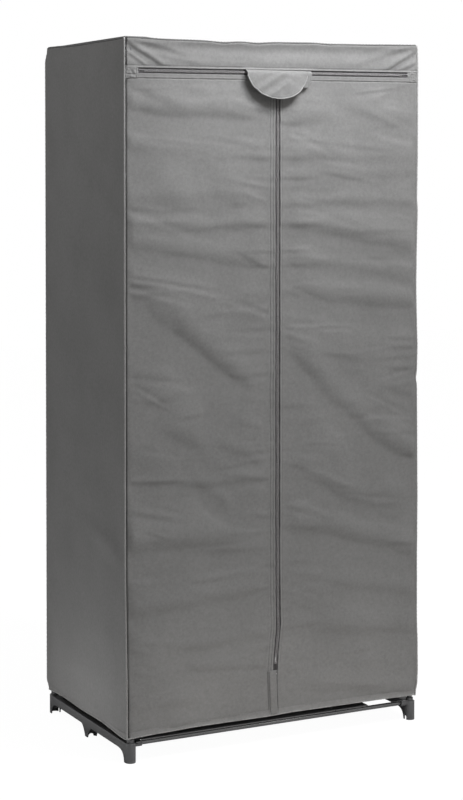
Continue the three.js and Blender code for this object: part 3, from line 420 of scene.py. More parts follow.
LEFT_SIDE_CREASES = [
    ([(-225, 1210), (40, 1330)], 26, -1.5), ([(-225, 470), (150, 545)], 24, -1.3),
    ([(-225, 430), (-50, 480)], 22, 1.4), ([(-200, 1030), (120, 985)], 30, 0.9),
    ([(-120, 780), (225, 730)], 26, 1.0), ([(-225, 1480), (60, 1500)], 18, 0.9),
    ([(-225, 250), (30, 210)], 26, 1.0), ([(-60, 150), (225, 130)], 22, 0.9),
]
RIGHT_SIDE_CREASES = [
    ([(-225, 1380), (120, 1330)], 26, 1.3), ([(-150, 1180), (225, 1120)], 30, 1.2),
    ([(-225, 900), (80, 960)], 24, -1.1), ([(-200, 640), (200, 700)], 30, 1.1),
    ([(-225, 420), (60, 380)], 26, 1.2), ([(-100, 190), (225, 220)], 24, 0.9),
]
BACK_CREASES = [
    ([(-370, 1440), (60, 1410)], 28, 1.5), ([(-60, 1300), (370, 1340)], 30, 1.3),
    ([(-370, 1120), (-40, 1180)], 32, 1.2), ([(-200, 960), (370, 900)], 34, 1.4),
    ([(-370, 760), (100, 700)], 30, 1.2), ([(-80, 520), (370, 560)], 34, 1.3),
    ([(-370, 330), (60, 300)], 30, 1.2), ([(-160, 160), (370, 130)], 22, 1.2),
]
RIGHT_SEAM = [
    (50, 0), (69, 0.5), (85, 4.5), (112, 6), (188, 5.2), (244, 3.2), (377, 2.9), (529, 3.8),
    (643, 2.9), (757, 1.9), (798, 1.4), (814, -2), (830, 1.2), (890, 2.8), (946, 0.8), (984, 0),
    (1022, -1.2), (1060, -1), (1136, 0.3), (1196, 2), (1216, 2.4), (1236, 0.3), (1300, 1.4),
    (1345, 2), (1550, 2.2), (1580, 1.6), (1600, 0),
]


def left_seam(z):
    """How far the front left seam has slipped outwards: most above knee height."""
    return 4.6 * (0.15 + 0.85 * smooth((z - 90) / 380)) * smooth((1640 - z) / 50)


def right_seam(z):
    """How far the front right seam stands out: it bellies at the foot, creases nick it."""
    heights, slips = columns_of(RIGHT_SEAM)
    return np.mean([np.interp(z + shift, heights, slips) for shift in (-4, 0, 4)], axis=0)


def panel_levels(at, hem_line, top_line, share):
    """A panel's lower and upper edge at one place along it, and a height in between."""
    low = along_line(at, hem_line) + OVER_HEM
    high = along_line(at, top_line) - UNDER_SEAM
    return low, high, low + (high - low) * share


def side_panel(side, sign, back_slack, top_line, hem_line, runs, seed):
    def face(u, v):
        back = 1 - u if sign < 0 else u
        low, high, z = panel_levels(-PANEL_Y + 2 * PANEL_Y * back, hem_line, top_line, v)
        slack = slack_at(z)
        y = -PANEL_Y + (2 * PANEL_Y + back_slack * slack) * back
        free = held_at_edges(y, z, -PANEL_Y, PANEL_Y, low, high, 55, 30)
        waves = creases(y, z, runs, -225, 225)
        waves = waves + ripple(y, z, 190, 0.9, seed) + ripple(y, z, 46, 0.13, seed + 1)
        slipped = (left_seam(z) if sign < 0 else right_seam(z)) * (1 - back)
        swell = 2.5 * slack * dome(u, 0.28)
        return sign * (SIDE + slipped + 3 * slack * back + swell + waves * free), y, z

    piece = cloth_piece(f"side_cloth_{side}", 76, 256, face)
    seat(piece, side_cloth, stands_for=[f"cover_side_{side}"])


side_panel("left", -1, 6, LEFT_TOP_EDGE, LEFT_HEM, LEFT_SIDE_CREASES, 11)
side_panel("right", 1, 5, RIGHT_TOP_EDGE, RIGHT_HEM, RIGHT_SIDE_CREASES, 13)


def back_face(u, v):
    low, high, z = panel_levels(PANEL_X * (1 - 2 * u), BACK_HEM, BACK_TOP_EDGE, v)
    slack = slack_at(z)
    x = (PANEL_X + 3 * slack) * (1 - 2 * u)
    free = held_at_edges(x, z, -PANEL_X, PANEL_X, low, high, 60, 30)
    waves = creases(x, z, BACK_CREASES, -370, 370)
    waves = waves + ripple(x, z, 210, 1.0, 17) + ripple(x, z, 52, 0.15, 18)
    return x, BACK + (5 + u) * slack + 2 * slack * dome(u, 0.14) + waves * free, z


back = cloth_piece("back_cloth", 110, 230, back_face)
seat(back, front_cloth, stands_for=["cover_back"])

TOP_X, TOP_Y, TOP_SAG = 371.1, 226.1, 2.4
RAIL_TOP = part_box("top_end_rail_left")[1][2] / MM
CLEAR_OF_RAIL = 1.2


def top_face(u, v):
    x = TOP_X * (2 * u - 1) - left_seam(1560) * (1 - u) * (1 - v)
    y = TOP_Y * (2 * v - 1)
    across = along_line(x, FRONT_TOP_EDGE) * (1 - v) + along_line(x, BACK_TOP_EDGE) * v
    lengthwise = along_line(y, LEFT_TOP_EDGE) * (1 - u) + along_line(y, RIGHT_TOP_EDGE) * u
    near_front, near_side = np.minimum(v, 1 - v) / 0.5, np.minimum(u, 1 - u) / 0.5
    near = near_side + near_front
    edge = (across * near_side + lengthwise * near_front) / np.maximum(near, 0.001)
    edge = np.where(near < 0.002, across, edge)
    sag = TOP_SAG * smooth((u - 0.02) / 0.14) * smooth((0.98 - u) / 0.14) * dome(v, 0.14)
    free = held_at_edges(x, y, -371, 371, -226, 226, 50, 40)
    waves = abs(ripple(x, y, 120, 0.35, 19)) + abs(ripple(x, y, 40, 0.1, 20))
    z = edge - UNDER_PIPING - sag - waves * free
    lift = np.maximum(RAIL_TOP + CLEAR_OF_RAIL - z, 0) * smooth((abs(x) - 290) / 42)
    return x, y, z + lift


top = cloth_piece("top_cloth", 120, 76, top_face)
seat(top, top_cloth, stands_for=["cover_top"])


# Header band: the strip of cover over the top zip, sewn to the top seam. It rolls outwards under
# the seam, and short slanting creases run down into it from both corners.
HEADER_BOTTOM = 1531
SEAM_X = 372
HEADER_CREASES = [
    ([(-372, 1580), (-286, 1532)], 6.5, 2.6), ([(-372, 1560), (-332, 1535)], 4, 1.5),
    ([(-372, 1592), (-236, 1560)], 7, 1.3), ([(-300, 1556), (-190, 1538)], 6, 0.8),
    ([(-240, 1572), (-60, 1568)], 9, -0.5), ([(286, 1534), (372, 1582)], 6.5, 2.4),
    ([(318, 1534), (372, 1556)], 5, 1.3), ([(240, 1558), (372, 1596)], 7, 1.2),
    ([(180, 1544), (300, 1560)], 7, 0.7), ([(-40, 1560), (180, 1566)], 10, -0.5),
]
CORNER_GATHERS = [
    (-352, 7, 0.9), (-338, 6, 0.8), (-322, 8, 0.7), (-300, 9, 0.5), (352, 7, 0.9), (337, 6, 0.7),
    (320, 8, 0.6),
]


def zip_rise(x):
    """The top zip was sewn a little out of level: it rises towards the right."""
    return 1 + 0.007 * x


def header_face(u, v):
    x = PANEL_X * (2 * u - 1) - left_seam(1560) * (1 - u) + right_seam(1550 + 40 * v) * u
    high = along_line(x, FRONT_TOP_EDGE) - UNDER_SEAM
    low = HEADER_BOTTOM + zip_rise(x)
    z = low + (high - low) * v
    under, over = high - z, z - low
    roll = 2.6 * bell(under, 9) - 0.9 * bell(under - 20, 9) + 0.9 * bell(over - 14, 9)
    roll += 1.1 * bell(over, 2) - 0.7 * bell(over - 4.2, 1.6)
    roll += 1.3 * smooth((104 - abs(x)) / 22) * bell(over, 5)
    waves = creases(x, z, HEADER_CREASES, -SEAM_X, SEAM_X) + ripple(x, z, 60, 0.3, 23)
    for at, width, depth in CORNER_GATHERS:
        lean = 0.55 * np.sign(at) * (z - 1575)
        waves = waves + depth * bell(x + lean - at, width) * smooth((z - 1548) / 24)
    waves = np.where(waves < 0, 1.2 * np.tanh(waves / 1.2), waves)
    waves = waves * smooth((under - 1) / 7) * smooth(over / 7)
    return x, FRONT - roll - waves * smooth(np.minimum(u, 1 - u) * 2 * PANEL_X / 9), z


header = cloth_piece("header_cloth", 230, shares(30, (0, 0.2, 16)), header_face)
seat(header, front_cloth, stands_for=["cover_front_header"])


# Doors: one length of cloth on each side of the vertical zip, from the top zip down to the hem.
# The zip holds them straight, so creases cross them from seam to seam and gather at the tape.
ZIP_GAP = 6
DOOR_TOP, ZIP_FOOT = 1518.5, 160
BELLY, DEEPEST, TURNED_BACK = 1.4, 1.5, 2.2
LEFT_DOOR_CREASES = [
    ([(-372, 1508), (-262, 1452)], 13, 0.9), ([(-372, 1490), (-300, 1462)], 8, 0.7),
    ([(-330, 1500), (-190, 1478)], 12, 1), ([(-366, 1430), (-14, 1422)], 25, 3.7),
    ([(-366, 1350), (-200, 1340)], 20, 1.4), ([(-366, 1232), (-14, 1240)], 20, 1.4),
    ([(-372, 1180), (-180, 1172), (-6, 1180)], 14, 1.5),
    ([(-366, 1140), (-150, 1095), (-14, 1085)], 24, 2.6),
    ([(-372, 1066), (-279, 1051), (-150, 1022)], 5, -0.9),
    ([(-372, 1037), (-304, 969), (-201, 910), (-102, 833)], 40, 2.2),
    ([(-354, 827), (-284, 784)], 4, -0.8), ([(-270, 972), (-180, 880), (-60, 808)], 26, 2.7),
    ([(-372, 858), (-270, 846)], 9, 0.9), ([(-290, 720), (-200, 690)], 22, 1.9),
    ([(-150, 684), (-50, 644)], 15, 1.2), ([(-372, 614), (-200, 600), (-6, 606)], 10, 1.1),
    ([(-210, 604), (-120, 535)], 18, 1.9), ([(-366, 465), (-90, 465)], 28, 2.9),
    ([(-366, 404), (-14, 404)], 8, -0.7), ([(-373, 325), (-200, 334), (-14, 351)], 18, 1.8),
    ([(-356, 428), (-28, 444)], 12, 1.2), ([(-279, 234), (-14, 246)], 13, 1.6),
    ([(-250, 193), (-6, 172)], 6, 0.8), ([(-366, 112), (-190, 118)], 15, 1.7),
]
RIGHT_DOOR_CREASES = [
    ([(256, 1462), (372, 1512)], 13, 1.4), ([(150, 1490), (330, 1500)], 10, 0.8),
    ([(6, 1410), (130, 1425)], 20, 2.6), ([(190, 1440), (366, 1410)], 22, 1.7),
    ([(6, 1330), (366, 1330)], 20, 1.7), ([(6, 1285), (366, 1295)], 16, 1.3),
    ([(6, 1222), (150, 1230), (372, 1222)], 13, 1.4),
    ([(6, 1182), (100, 1162), (366, 1118)], 25, 2.6), ([(6, 1102), (366, 1053)], 20, 2.1),
    ([(50, 1012), (366, 980)], 24, 2.5), ([(10, 947), (110, 950), (215, 949)], 4.5, -0.8),
    ([(30, 888), (130, 790), (250, 682), (362, 624)], 27, 3.7), ([(230, 640), (372, 632)], 9, 0.8),
    ([(30, 620), (260, 512)], 22, 2), ([(30, 484), (150, 464), (366, 396)], 24, 2.6),
    ([(300, 428), (372, 421)], 6, 0.8), ([(290, 376), (372, 361)], 6, 0.8),
    ([(6, 252), (160, 236), (330, 214)], 20, 1.9), ([(150, 340), (366, 298)], 22, 1.9),
    ([(300, 840), (372, 832)], 7, 0.8), ([(290, 792), (372, 770)], 9, 0.8),
    ([(80, 112), (366, 66)], 17, 2.2),
]
ZIP_GATHERS = [
    1440, 1410, 1330, 1285, 1225, 1180, 1120, 1085, 1022, 946, 842, 764, 668, 602, 515, 405, 300,
    214,
]
ZIP_LINE = [
    (60, -3), (120, -5), (168, -5.6), (184, -4.8), (200, -3.4), (226, -1.2), (262, 2.2),
    (310, 1.6), (390, 0.4), (450, 0), (1530, 0),
]
LEFT_PLACKET = [
    (0, 1.0), (1.3, 1.35), (3.6, 1.1), (5.2, 0.7), (6.4, -1.0), (7.6, 0.7), (9.3, 1.2),
    (12.4, 0.8), (13.6, -1.0), (14.9, 0.4), (17.5, 0.25), (22, 0),
]
RIGHT_PLACKET = [(0, 0.9), (1.3, 1.25), (3.4, 1.1), (4.8, -0.3), (6.4, 0.5), (14, 0.1), (22, 0)]
TOP_FOLD = [
    (0, 0.7), (1.5, 0.95), (6.5, 0.8), (8.4, 1.2), (9.6, 0.8), (11, -0.9), (12.6, 0.4), (15, 0.4),
    (22, 0),
]


def fine_creases(seed, count, left, right, pulled_from):
    """Many short creases: half of them start at the seam that pulls, the rest lie loose."""
    rng = np.random.default_rng(seed)
    runs = []
    for number in range(count):
        length = rng.uniform(35, 150)
        begin = rng.uniform(left, right - length)
        if number % 2:
            begin = pulled_from if pulled_from < (left + right) / 2 else pulled_from - length
        z, fall = rng.uniform(90, 1490), rng.normal(-0.1, 0.17) * length
        width, depth = rng.uniform(4, 8), rng.choice((-1, 1)) * rng.uniform(0.25, 0.6)
        runs.append(([(begin, z), (begin + length, z + fall)], width, depth))
    return runs


LEFT_DOOR_CREASES += fine_creases(91, 84, -SEAM_X, -ZIP_GAP, -ZIP_GAP)
LEFT_DOOR_CREASES += fine_creases(92, 34, -SEAM_X, -ZIP_GAP, -SEAM_X)
RIGHT_DOOR_CREASES += fine_creases(93, 84, ZIP_GAP, SEAM_X, ZIP_GAP)
RIGHT_DOOR_CREASES += fine_creases(94, 40, ZIP_GAP, SEAM_X, SEAM_X)


def fold_relief(inwards, line):
    """Relief of a sewn fold by distance from its edge: proud there, sunk where it is sewn."""
    at, proud = columns_of(line)
    spread = (-0.5, -0.25, 0, 0.25, 0.5)
    return np.mean([np.interp(inwards + shift, at, proud) for shift in spread], axis=0)


def gathered(z, inwards):
    total = 0
    for k, height in enumerate(ZIP_GATHERS):
        pull = (0.8 + 0.35 * (k % 4)) * step((z - height) / (5 + k % 3))
        total = total + pull * np.exp(-abs(inwards - 14) / 34)
    return total


def door_face(sign, placket, runs, seed):
    seams = (ZIP_GAP, SEAM_X) if sign > 0 else (-SEAM_X, -ZIP_GAP)

    def face(u, v):
        level = HEM_HEIGHT + (DOOR_TOP - HEM_HEIGHT) * v
        edge = PANEL_X + right_seam(level) if sign > 0 else -PANEL_X - left_seam(level)
        seam = sign * ZIP_GAP + along_line(level, ZIP_LINE)
        x = seam + (edge - seam) * (u if sign > 0 else 1 - u)
        low, high = along_line(x, FRONT_HEM) + OVER_HEM, DOOR_TOP + zip_rise(x)
        z = low + (high - low) * v
        inwards, outwards = abs(x - seam), abs(edge - x)
        free = 0.35 + 0.65 * smooth((inwards - 10) / 40)
        free = free * smooth(outwards / 16) * smooth((z - low) / 16)
        free = free * (0.25 + 0.75 * smooth((high - 12 - z) / 26))
        waves = creases(x, z, runs, *seams) + gathered(z, inwards)
        waves = waves * (1 + 0.5 * smooth((700 - z) / 220))
        waves = waves + ripple(x, z, 150, 1.25, seed) + ripple(x, z, 42, 0.18, seed + 1)
        waves = np.where(waves < 0, DEEPEST * np.tanh(waves / DEEPEST), waves)
        full = BELLY * smooth(inwards / 90) * smooth(outwards / 90)
        relief = fold_relief(inwards, placket) * (0.85 + ripple(x * 0, z, 24, 0.3, seed + 2))
        relief = relief * smooth((z - ZIP_FOOT) / 6) * smooth((high - 6 - z) / 6)
        uneven = 0.9 + ripple(x, z * 0, 26, 0.25, seed + 3)
        relief = relief + fold_relief(high - z, TOP_FOLD) * uneven
        turned_back = TURNED_BACK * np.exp(-outwards / 9) if sign < 0 else 0
        return x, FRONT - (full + waves) * free - relief + turned_back, z

    return face


near_zip = 34 / (PANEL_X - ZIP_GAP)
door_rows = shares(380, (0, 0.012, 14), (0.975, 1, 44))
for side, sign, dense, placket, runs, seed, width in (
    ("left", -1, (1 - near_zip, 1, 36), LEFT_PLACKET, LEFT_DOOR_CREASES, 31, 0.371),
    ("right", 1, (0, near_zip, 36), RIGHT_PLACKET, RIGHT_DOOR_CREASES, 37, 0.367),
):
    door = cloth_piece(f"door_cloth_{side}", shares(88, dense), door_rows,
                       door_face(sign, placket, runs, seed))
    seat(door, front_cloth, body=None,
         stands_for=[f"door_{side}", "cover_front_skirt"])
    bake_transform(door)


# Piped seams down the four corners and round the top: a cord rolled into a strip of the cover
# cloth and caught between two panels. The rolled strip puckers a little at each stitch.
PIPING_RADIUS = 2.3
STITCH_PUCKER = 8.4
SEAM_CORNER = 6


def tube(name, path, guide, size, sides, closed=False, waver=0):
    """A tube round a path in millimetres: size is its radius, waver shifts it sideways."""
    if closed:
        ahead = np.roll(path, -1, axis=0) - np.roll(path, 1, axis=0)
    else:
        ahead = np.gradient(path, axis=0)
    ahead /= np.linalg.norm(ahead, axis=1, keepdims=True)
    across = np.cross(ahead, guide)
    across /= np.linalg.norm(across, axis=1, keepdims=True)
    lift = np.cross(across, ahead)
    turns = np.linspace(0, 2 * math.pi, sides, endpoint=False)
    size, waver = (np.broadcast_to(part, len(path))[:, None] for part in (size, waver))
    sideways = across[:, None, :] * (np.cos(turns) * size + waver)[..., None]
    upwards = lift[:, None, :] * (np.sin(turns) * size)[..., None]
    rings = path[:, None, :] + sideways + upwards
    return mesh_piece(name, rings.reshape(-1, 3) * MM, ring_faces(len(path), sides, closed))


def rolled_seam(name, path, radius, pucker, seed, closed=False, sides=10, guide=(0, 0, 1)):
    """A rolled edge along a path, whose radius and line waver as sewn cloth does."""
    travelled = np.cumsum(np.linalg.norm(np.diff(path, axis=0, prepend=path[:1]), axis=1))
    waver = ripple(travelled, travelled * 0, 34, 0.16, seed)
    uneven = ripple(travelled, travelled * 0, 60, 1.2, seed + 1)
    pinch = pucker * np.sin(travelled * 2 * math.pi / STITCH_PUCKER + uneven)
    return tube(name, path, guide, radius + pinch, sides, closed, waver)


# The corner piping and the flap's binding are coloured paler than the cover cloth: a painted
# highlight where the rolled edges meet the light.
edge_cloth_painted_highlight = nonwoven("piping_cloth_painted_highlight", (1, 2), grey=0.31)
# The top piping is coloured much darker than the cover cloth, for the dark band along the top
# edge.
dark_top_seam_cloth = nonwoven("top_seam_cloth_dark", (0, 2), grey=0.12)
for where, sign_x, sign_y, slack_x, slack_y, hem, end in (
    ("front_left", -1, -1, 1.8, 0, 53.5, 1594.5), ("front_right", 1, -1, 0, 0, 57, 1597.5),
    ("back_left", -1, 1, 3, 6, 54.5, 1596.5), ("back_right", 1, 1, 3, 5, 55, 1597),
):
    levels = np.linspace(hem, end, 330)
    off = slack_at(levels) if sign_y > 0 else 1
    slipped = {"front_left": left_seam, "front_right": right_seam}.get(where, np.zeros_like)
    x = sign_x * (373.6 + slipped(levels) + slack_x * off)
    line = spots(x, sign_y * (228.4 + slack_y * off), levels)
    seam = rolled_seam(f"piped_seam_{where}", line, PIPING_RADIUS, 0.22,
                       41 + len(where) + sign_x, guide=(1, 0, 0))
    seat(seam, edge_cloth_painted_highlight, stands_for=[f"piping_{where}"])


def round_box(reach_x, reach_y, lines, slip):
    """A closed line round the cover, level with its front, back, left and right edge lines."""
    loop = []
    for side_x, side_y, first_turn in ((1, -1, -90), (1, 1, 0), (-1, 1, 90), (-1, -1, 180)):
        for angle in np.radians(first_turn + 15 * np.arange(7)):
            loop.append((side_x * (reach_x - SEAM_CORNER) + SEAM_CORNER * math.cos(angle),
                         side_y * (reach_y - SEAM_CORNER) + SEAM_CORNER * math.sin(angle)))
    ring = []
    for (x0, y0), (x1, y1) in zip(loop, loop[1:] + loop[:1]):
        parts = max(1, int(math.dist((x0, y0), (x1, y1)) / 4))
        ring += [(x0 + (x1 - x0) * k / parts, y0 + (y1 - y0) * k / parts) for k in range(parts)]
    x, y = np.array(ring).T
    places = [y < 4 - reach_y, y > reach_y - 4, x < 0]
    front, back, left, right = lines
    heights = [along_line(x, front), along_line(x, back), along_line(y, left)]
    z = np.select(places, heights, along_line(y, right))
    z = np.convolve(np.concatenate([z[-4:], z, z[:4]]), np.ones(9) / 9, "valid")
    return np.column_stack([x - slip * (x < -360) * np.clip(-y / 228, 0, 1), y, z])


top_edges = (FRONT_TOP_EDGE, BACK_TOP_EDGE, LEFT_TOP_EDGE, RIGHT_TOP_EDGE)
top_line = round_box(373.4, 228.6, top_edges, left_seam(1596))
top_line[:, 2] -= UNDER_PIPING
top_seam = rolled_seam("piped_seam_top", top_line, PIPING_RADIUS, 0.42, 47, closed=True)
seat(top_seam, dark_top_seam_cloth, stands_for=["piping_top"])


# Hem: the lower edge of the cover, turned up twice and sewn. The fold is round, so its lowest
# edge catches the light, and the seam pulls it into short scallops. Its visible bands and rolled
# edge are also coloured paler than the cover: a painted highlight.
HEM_PUCKER = 11
HEM_STITCHES = 12.3
THREAD = 0.34


def hem_band(name, start, end, out, hem_line, material, seed):
    span = math.dist(start, end)

    def face(u, v):
        x, y = (begin + (stop - begin) * u for begin, stop in zip(start, end))
        far = u * span
        bulge = 0.9 + 1.5 * bell(v, 0.2) - 0.6 * bell(v - 0.84, 0.09)
        bulge = bulge + 0.14 * np.sin(far * 2 * math.pi / HEM_PUCKER + seed)
        bulge = bulge + ripple(far, v * 12, 40, 0.2, seed)
        bulge = bulge * smooth(u * span / 5) * smooth((1 - u) * span / 5)
        z = along_line(y if out[0] else x, hem_line) + 1.4 + 13 * v
        z = z + ripple(far, far * 0, 90, 0.35, seed + 2) * (1 - v)
        return x + out[0] * bulge, y + out[1] * bulge, z

    piece = cloth_piece(name, int(span / 4), shares(9, (0, 0.3, 6)), face, thickness=0.9)
    seat(piece, material)


# The front and left hem bands are coloured paler than the cover cloth: painted light along the lit
# hem. The back and right bands keep the plain cover cloth.
hem_cloth_painted_highlight = nonwoven("hem_cloth_painted_highlight", (0, 2), grey=0.25)
hem_band("hem_front", (-371, -230.1), (370.5, -230.1), (0, -1), FRONT_HEM, hem_cloth_painted_highlight, 51)
hem_band("hem_back", (370.5, 230.3), (-370.5, 230.3), (0, 1), BACK_HEM, front_cloth, 53)
hem_band("hem_left", (-375.1, 225), (-375.4, -225), (-1, 0), LEFT_HEM, hem_cloth_painted_highlight, 55)
hem_band("hem_right", (375.1, -225), (375.1, 225), (1, 0), RIGHT_HEM, side_cloth, 57)

hem_line = round_box(376, 231.2, (FRONT_HEM, BACK_HEM, LEFT_HEM, RIGHT_HEM), 0.6)
hem_line[:, 2] += 1.6
hem_fold = rolled_seam("hem_fold", hem_line, 1.5, 0.12, 59, closed=True, sides=8)
# The rolled hem edge is coloured paler still: a painted highlight along the lowest edge.
seat(hem_fold, nonwoven("hem_fold_painted_highlight", (0, 1), grey=0.36))

thread = Surface("grey_thread")
ply = thread.noise(2600, 2)
grey_thread = thread.finish({
    "Base Color": thread.ramp(ply, (0.35, (0.264, 0.26, 0.264)), (0.65, (0.33, 0.325, 0.33))),
    "Roughness": 0.75, "Normal": thread.bump(ply, 0.4, 0.0001),
})


def stitch_row(name, path, pitch=3.2, out=(0, -1, 0), body="wardrobe"):
    """Lockstitch thread along a path: short rounded stitches, both ends pulled into the cloth."""
    path, out = spots(*path), np.array(out, float)
    lengths = np.linalg.norm(np.diff(path, axis=0), axis=1)
    travelled = np.concatenate([[0], np.cumsum(lengths)])
    sides = 5
    profile = ((0, 0.25), (0.28, 0.9), (0.72, 1), (1, 0.25))
    one_stitch = ring_faces(len(profile), sides, closed=False)
    vertices, faces = [], []
    for k in range(int(travelled[-1] / pitch)):
        faces += [[len(vertices) + corner for corner in face] for face in one_stitch]
        begin, end = np.array([
            [np.interp((k + share) * pitch, travelled, line) for line in path.T]
            for share in (0.12, 0.88)])
        across = np.cross((end - begin) / np.linalg.norm(end - begin), out)
        for share, swell in profile:
            centre = begin + (end - begin) * share + out * (swell - 0.55) * THREAD
            for angle in np.arange(sides) * 2 * math.pi / sides:
                round_it = across * math.cos(angle) + out * math.sin(angle)
                vertices.append((centre + THREAD * swell * round_it) * MM)
    return seat(mesh_piece(name, vertices, faces), grey_thread, body=body)


run = np.linspace(-366, 366, 120)
stitch_row("hem_stitches_front", (run, -231.2, along_line(run, FRONT_HEM) + HEM_STITCHES), 3.4)
run = np.linspace(222, -222, 80)
stitch_row("hem_stitches_left", (-376.3, run, along_line(run, LEFT_HEM) + HEM_STITCHES), 3.4,
           out=(-1, 0, 0))


# Zips: grey-violet woven tape with a nylon coil sewn along its edge. One half is sewn under the
# header band, the other halves under the folded edges of the two doors.
TOP_ZIP_HEIGHT = 1524.5
TAPE_Y, COIL_Y = FRONT + 1.1, FRONT - 0.15
TAPE_PITCH, COIL_PITCH = 0.0011, 2.2
COIL_REACH, COIL_DEPTH, COIL_WIRE = 2.8, 0.72, 0.42

tape = Surface("zip_tape_woven")
weave, cloud = tape.weave((0, 2), TAPE_PITCH), tape.noise(90, 5)
zip_tape = tape.finish({
    "Base Color": tape.ramp(cloud, (0.3, (0.05, 0.047, 0.048)), (0.7, (0.072, 0.068, 0.07))),
    "Roughness": tape.ramp(weave, (0.2, 0.7), (0.8, 0.88)),
    "Normal": tape.bump(weave, 0.5, 0.00015),
})
nylon = Surface("zip_coil_nylon")
cloud = nylon.noise(700, 2)
zip_coil = nylon.finish({
    "Base Color": nylon.ramp(cloud, (0.3, (0.3, 0.288, 0.29)), (0.7, (0.42, 0.405, 0.405))),
    "Roughness": nylon.ramp(cloud, (0.3, 0.34), (0.7, 0.5)),
    "Normal": nylon.bump(cloud, 0.2, 0.0001),
})


def coil(name, run_axis, start, end, toward, shift, body):
    """A nylon coil: flattened turns of one thread, their heads reaching to the zip's middle."""
    points, sides = 9, 5
    t = np.arange(int((end - start) / COIL_PITCH) * points + 1) / points
    angle = 2 * math.pi * t
    along = start + (t + shift) * COIL_PITCH
    across = toward * (COIL_REACH / 2 + 0.15 - COIL_REACH / 2 * np.cos(angle))
    depth = COIL_Y - COIL_DEPTH * np.sin(angle)
    if run_axis == X:
        path, guide = spots(along, depth, TOP_ZIP_HEIGHT + across + zip_rise(along)), (1, 0, 0)
    else:
        wave = along_line(along, ZIP_LINE) + ripple(along, along * 0, 160, 0.35, 64)
        path, guide = spots(across + wave, depth, along), (0, 0, 1)
    piece = tube(name, path, guide, COIL_WIRE, sides)
    return seat(piece, zip_coil, body=body)


def tape_strip(name, run_axis, start, end, inner, outer, body, stands_for, seed):
    """The woven tape of one zip half, lying just behind the cloth's folded edge."""
    def face(u, v):
        along = start + (end - start) * (u if run_axis == X else v)
        across = inner + (outer - inner) * (v if run_axis == X else u)
        y = TAPE_Y - 0.5 * smooth(1 - abs(across - inner) / 3.4)
        y = y + ripple(along, across, 46, 0.12, seed)
        if run_axis == X:
            return along, y, across + zip_rise(along)
        return across + along_line(along, ZIP_LINE), y, along

    long_steps = int((end - start) / 5)
    columns, rows = (long_steps, 8) if run_axis == X else (8, long_steps)
    piece = cloth_piece(name, columns, rows, face, thickness=0.5)
    return seat(piece, zip_tape, body=body, stands_for=stands_for)


header_tape = tape_strip("zip_tape_header", X, -352, 352, TOP_ZIP_HEIGHT + 0.6, 1538, "wardrobe",
                         ["zip_header"], 61)
coil("zip_coil_header", X, -348, 348, 1, 0.5, "wardrobe")
coil("zip_coil_top_left", X, -332, -41, -1, 0, "door_left")
coil("zip_coil_top_right", X, 37, 332, -1, 0, "door_right")
for side, start, end, seed in (("left", -352, -6.5, 63), ("right", 6.5, 352, 65)):
    strip = tape_strip(f"zip_tape_top_{side}", X, start, end, 1508, TOP_ZIP_HEIGHT - 0.6,
                       f"door_{side}", [f"zip_top_{side}"], seed)
for side, toward, shift, low_x, high_x, seed in (
    ("left", -1, 0, -15, -0.6, 67), ("right", 1, 0.5, 0.6, 15, 69),
):
    strip = tape_strip(f"zip_tape_{side}", Z, ZIP_FOOT, 1517, low_x, high_x, None,
                       [f"zip_{side}"], seed)
    turns = coil(f"zip_coil_{side}", Z, 178, 1487, toward, shift, None)
    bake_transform(strip)
    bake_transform(turns)


# Sewing along the zips: the doors' folded edges and the header's edge are stitched down through
# the tape. A strip of cloth runs from the zip's foot to the hem, and a gathered patch covers each
# end of the top zip.
SEWN_Y = FRONT + 0.4
FOOT_LOW, FOOT_TALL, FOOT_LEFT, FOOT_WIDE = 63, 101, -26, 26
PATCH_X, PATCH_LOW, PATCH_WIDE, PATCH_TALL = 359.8, 1507, 26, 27

for side, left, right in (("left", -346, -14), ("right", 14, 346)):
    run = np.linspace(left, right, 60)
    stitch_row(f"door_top_stitches_{side}", (run, SEWN_Y, 1507.5 + zip_rise(run)),
               body=f"door_{side}")
climb = np.linspace(164, 1504, 120)
for side, number, x in (("left", 1, -12.4), ("left", 2, -19.7), ("right", 1, 10.8)):
    row = stitch_row(f"placket_stitches_{side}_{number}",
                     (along_line(climb, ZIP_LINE) + x, SEWN_Y, climb), body=None)
    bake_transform(row)
run = np.linspace(-346, 346, 60)
stitch_row("header_stitches", (run, FRONT + 0.1, 1535.3 + zip_rise(run)))


def foot_face(u, v):
    z = FOOT_LOW + FOOT_TALL * v
    x = FOOT_LEFT + FOOT_WIDE * u + 4 * (1 - v)
    inside = FOOT_WIDE * np.minimum(u, 1 - u)
    proud = (2.7 - 3.2 * bell(inside - 2.8, 1.4)) * smooth(inside / 1.2)
    proud = proud * smooth((FOOT_LOW + FOOT_TALL - z) / 2)
    return x, FRONT - proud - ripple(x, z, 30, 0.15, 73), z


foot_strip = cloth_piece("placket_foot", 40, 30, foot_face, thickness=0.9)
seat(foot_strip, front_cloth)
for side, x in (("left", -23.2), ("right", -2.8)):
    stitch_row(f"placket_foot_stitches_{side}", ((x + 3.6, x), FRONT, (74, 160)))


def patch_face(sign):
    def face(u, v):
        slip = left_seam(1520) * (1 - u) if sign < 0 else 0
        x = sign * PATCH_X + PATCH_WIDE * (u - 0.5) - slip
        z = PATCH_LOW + PATCH_TALL * v + zip_rise(x)
        pucker = ripple(x, z, 9, 0.55, 75 + sign) + ripple(x, z * 0.4, 20, 0.5, 77 + sign)
        sewn = bell(u - 0.5 + sign * 0.3, 0.05) + bell(v - 0.36, 0.04) + bell(v - 0.9, 0.04)
        rim = np.minimum(np.minimum(u, 1 - u) * PATCH_WIDE, np.minimum(v, 1 - v) * PATCH_TALL)
        return x, FRONT - (1.2 + pucker - np.minimum(sewn, 1)) * smooth(rim / 3), z

    return face


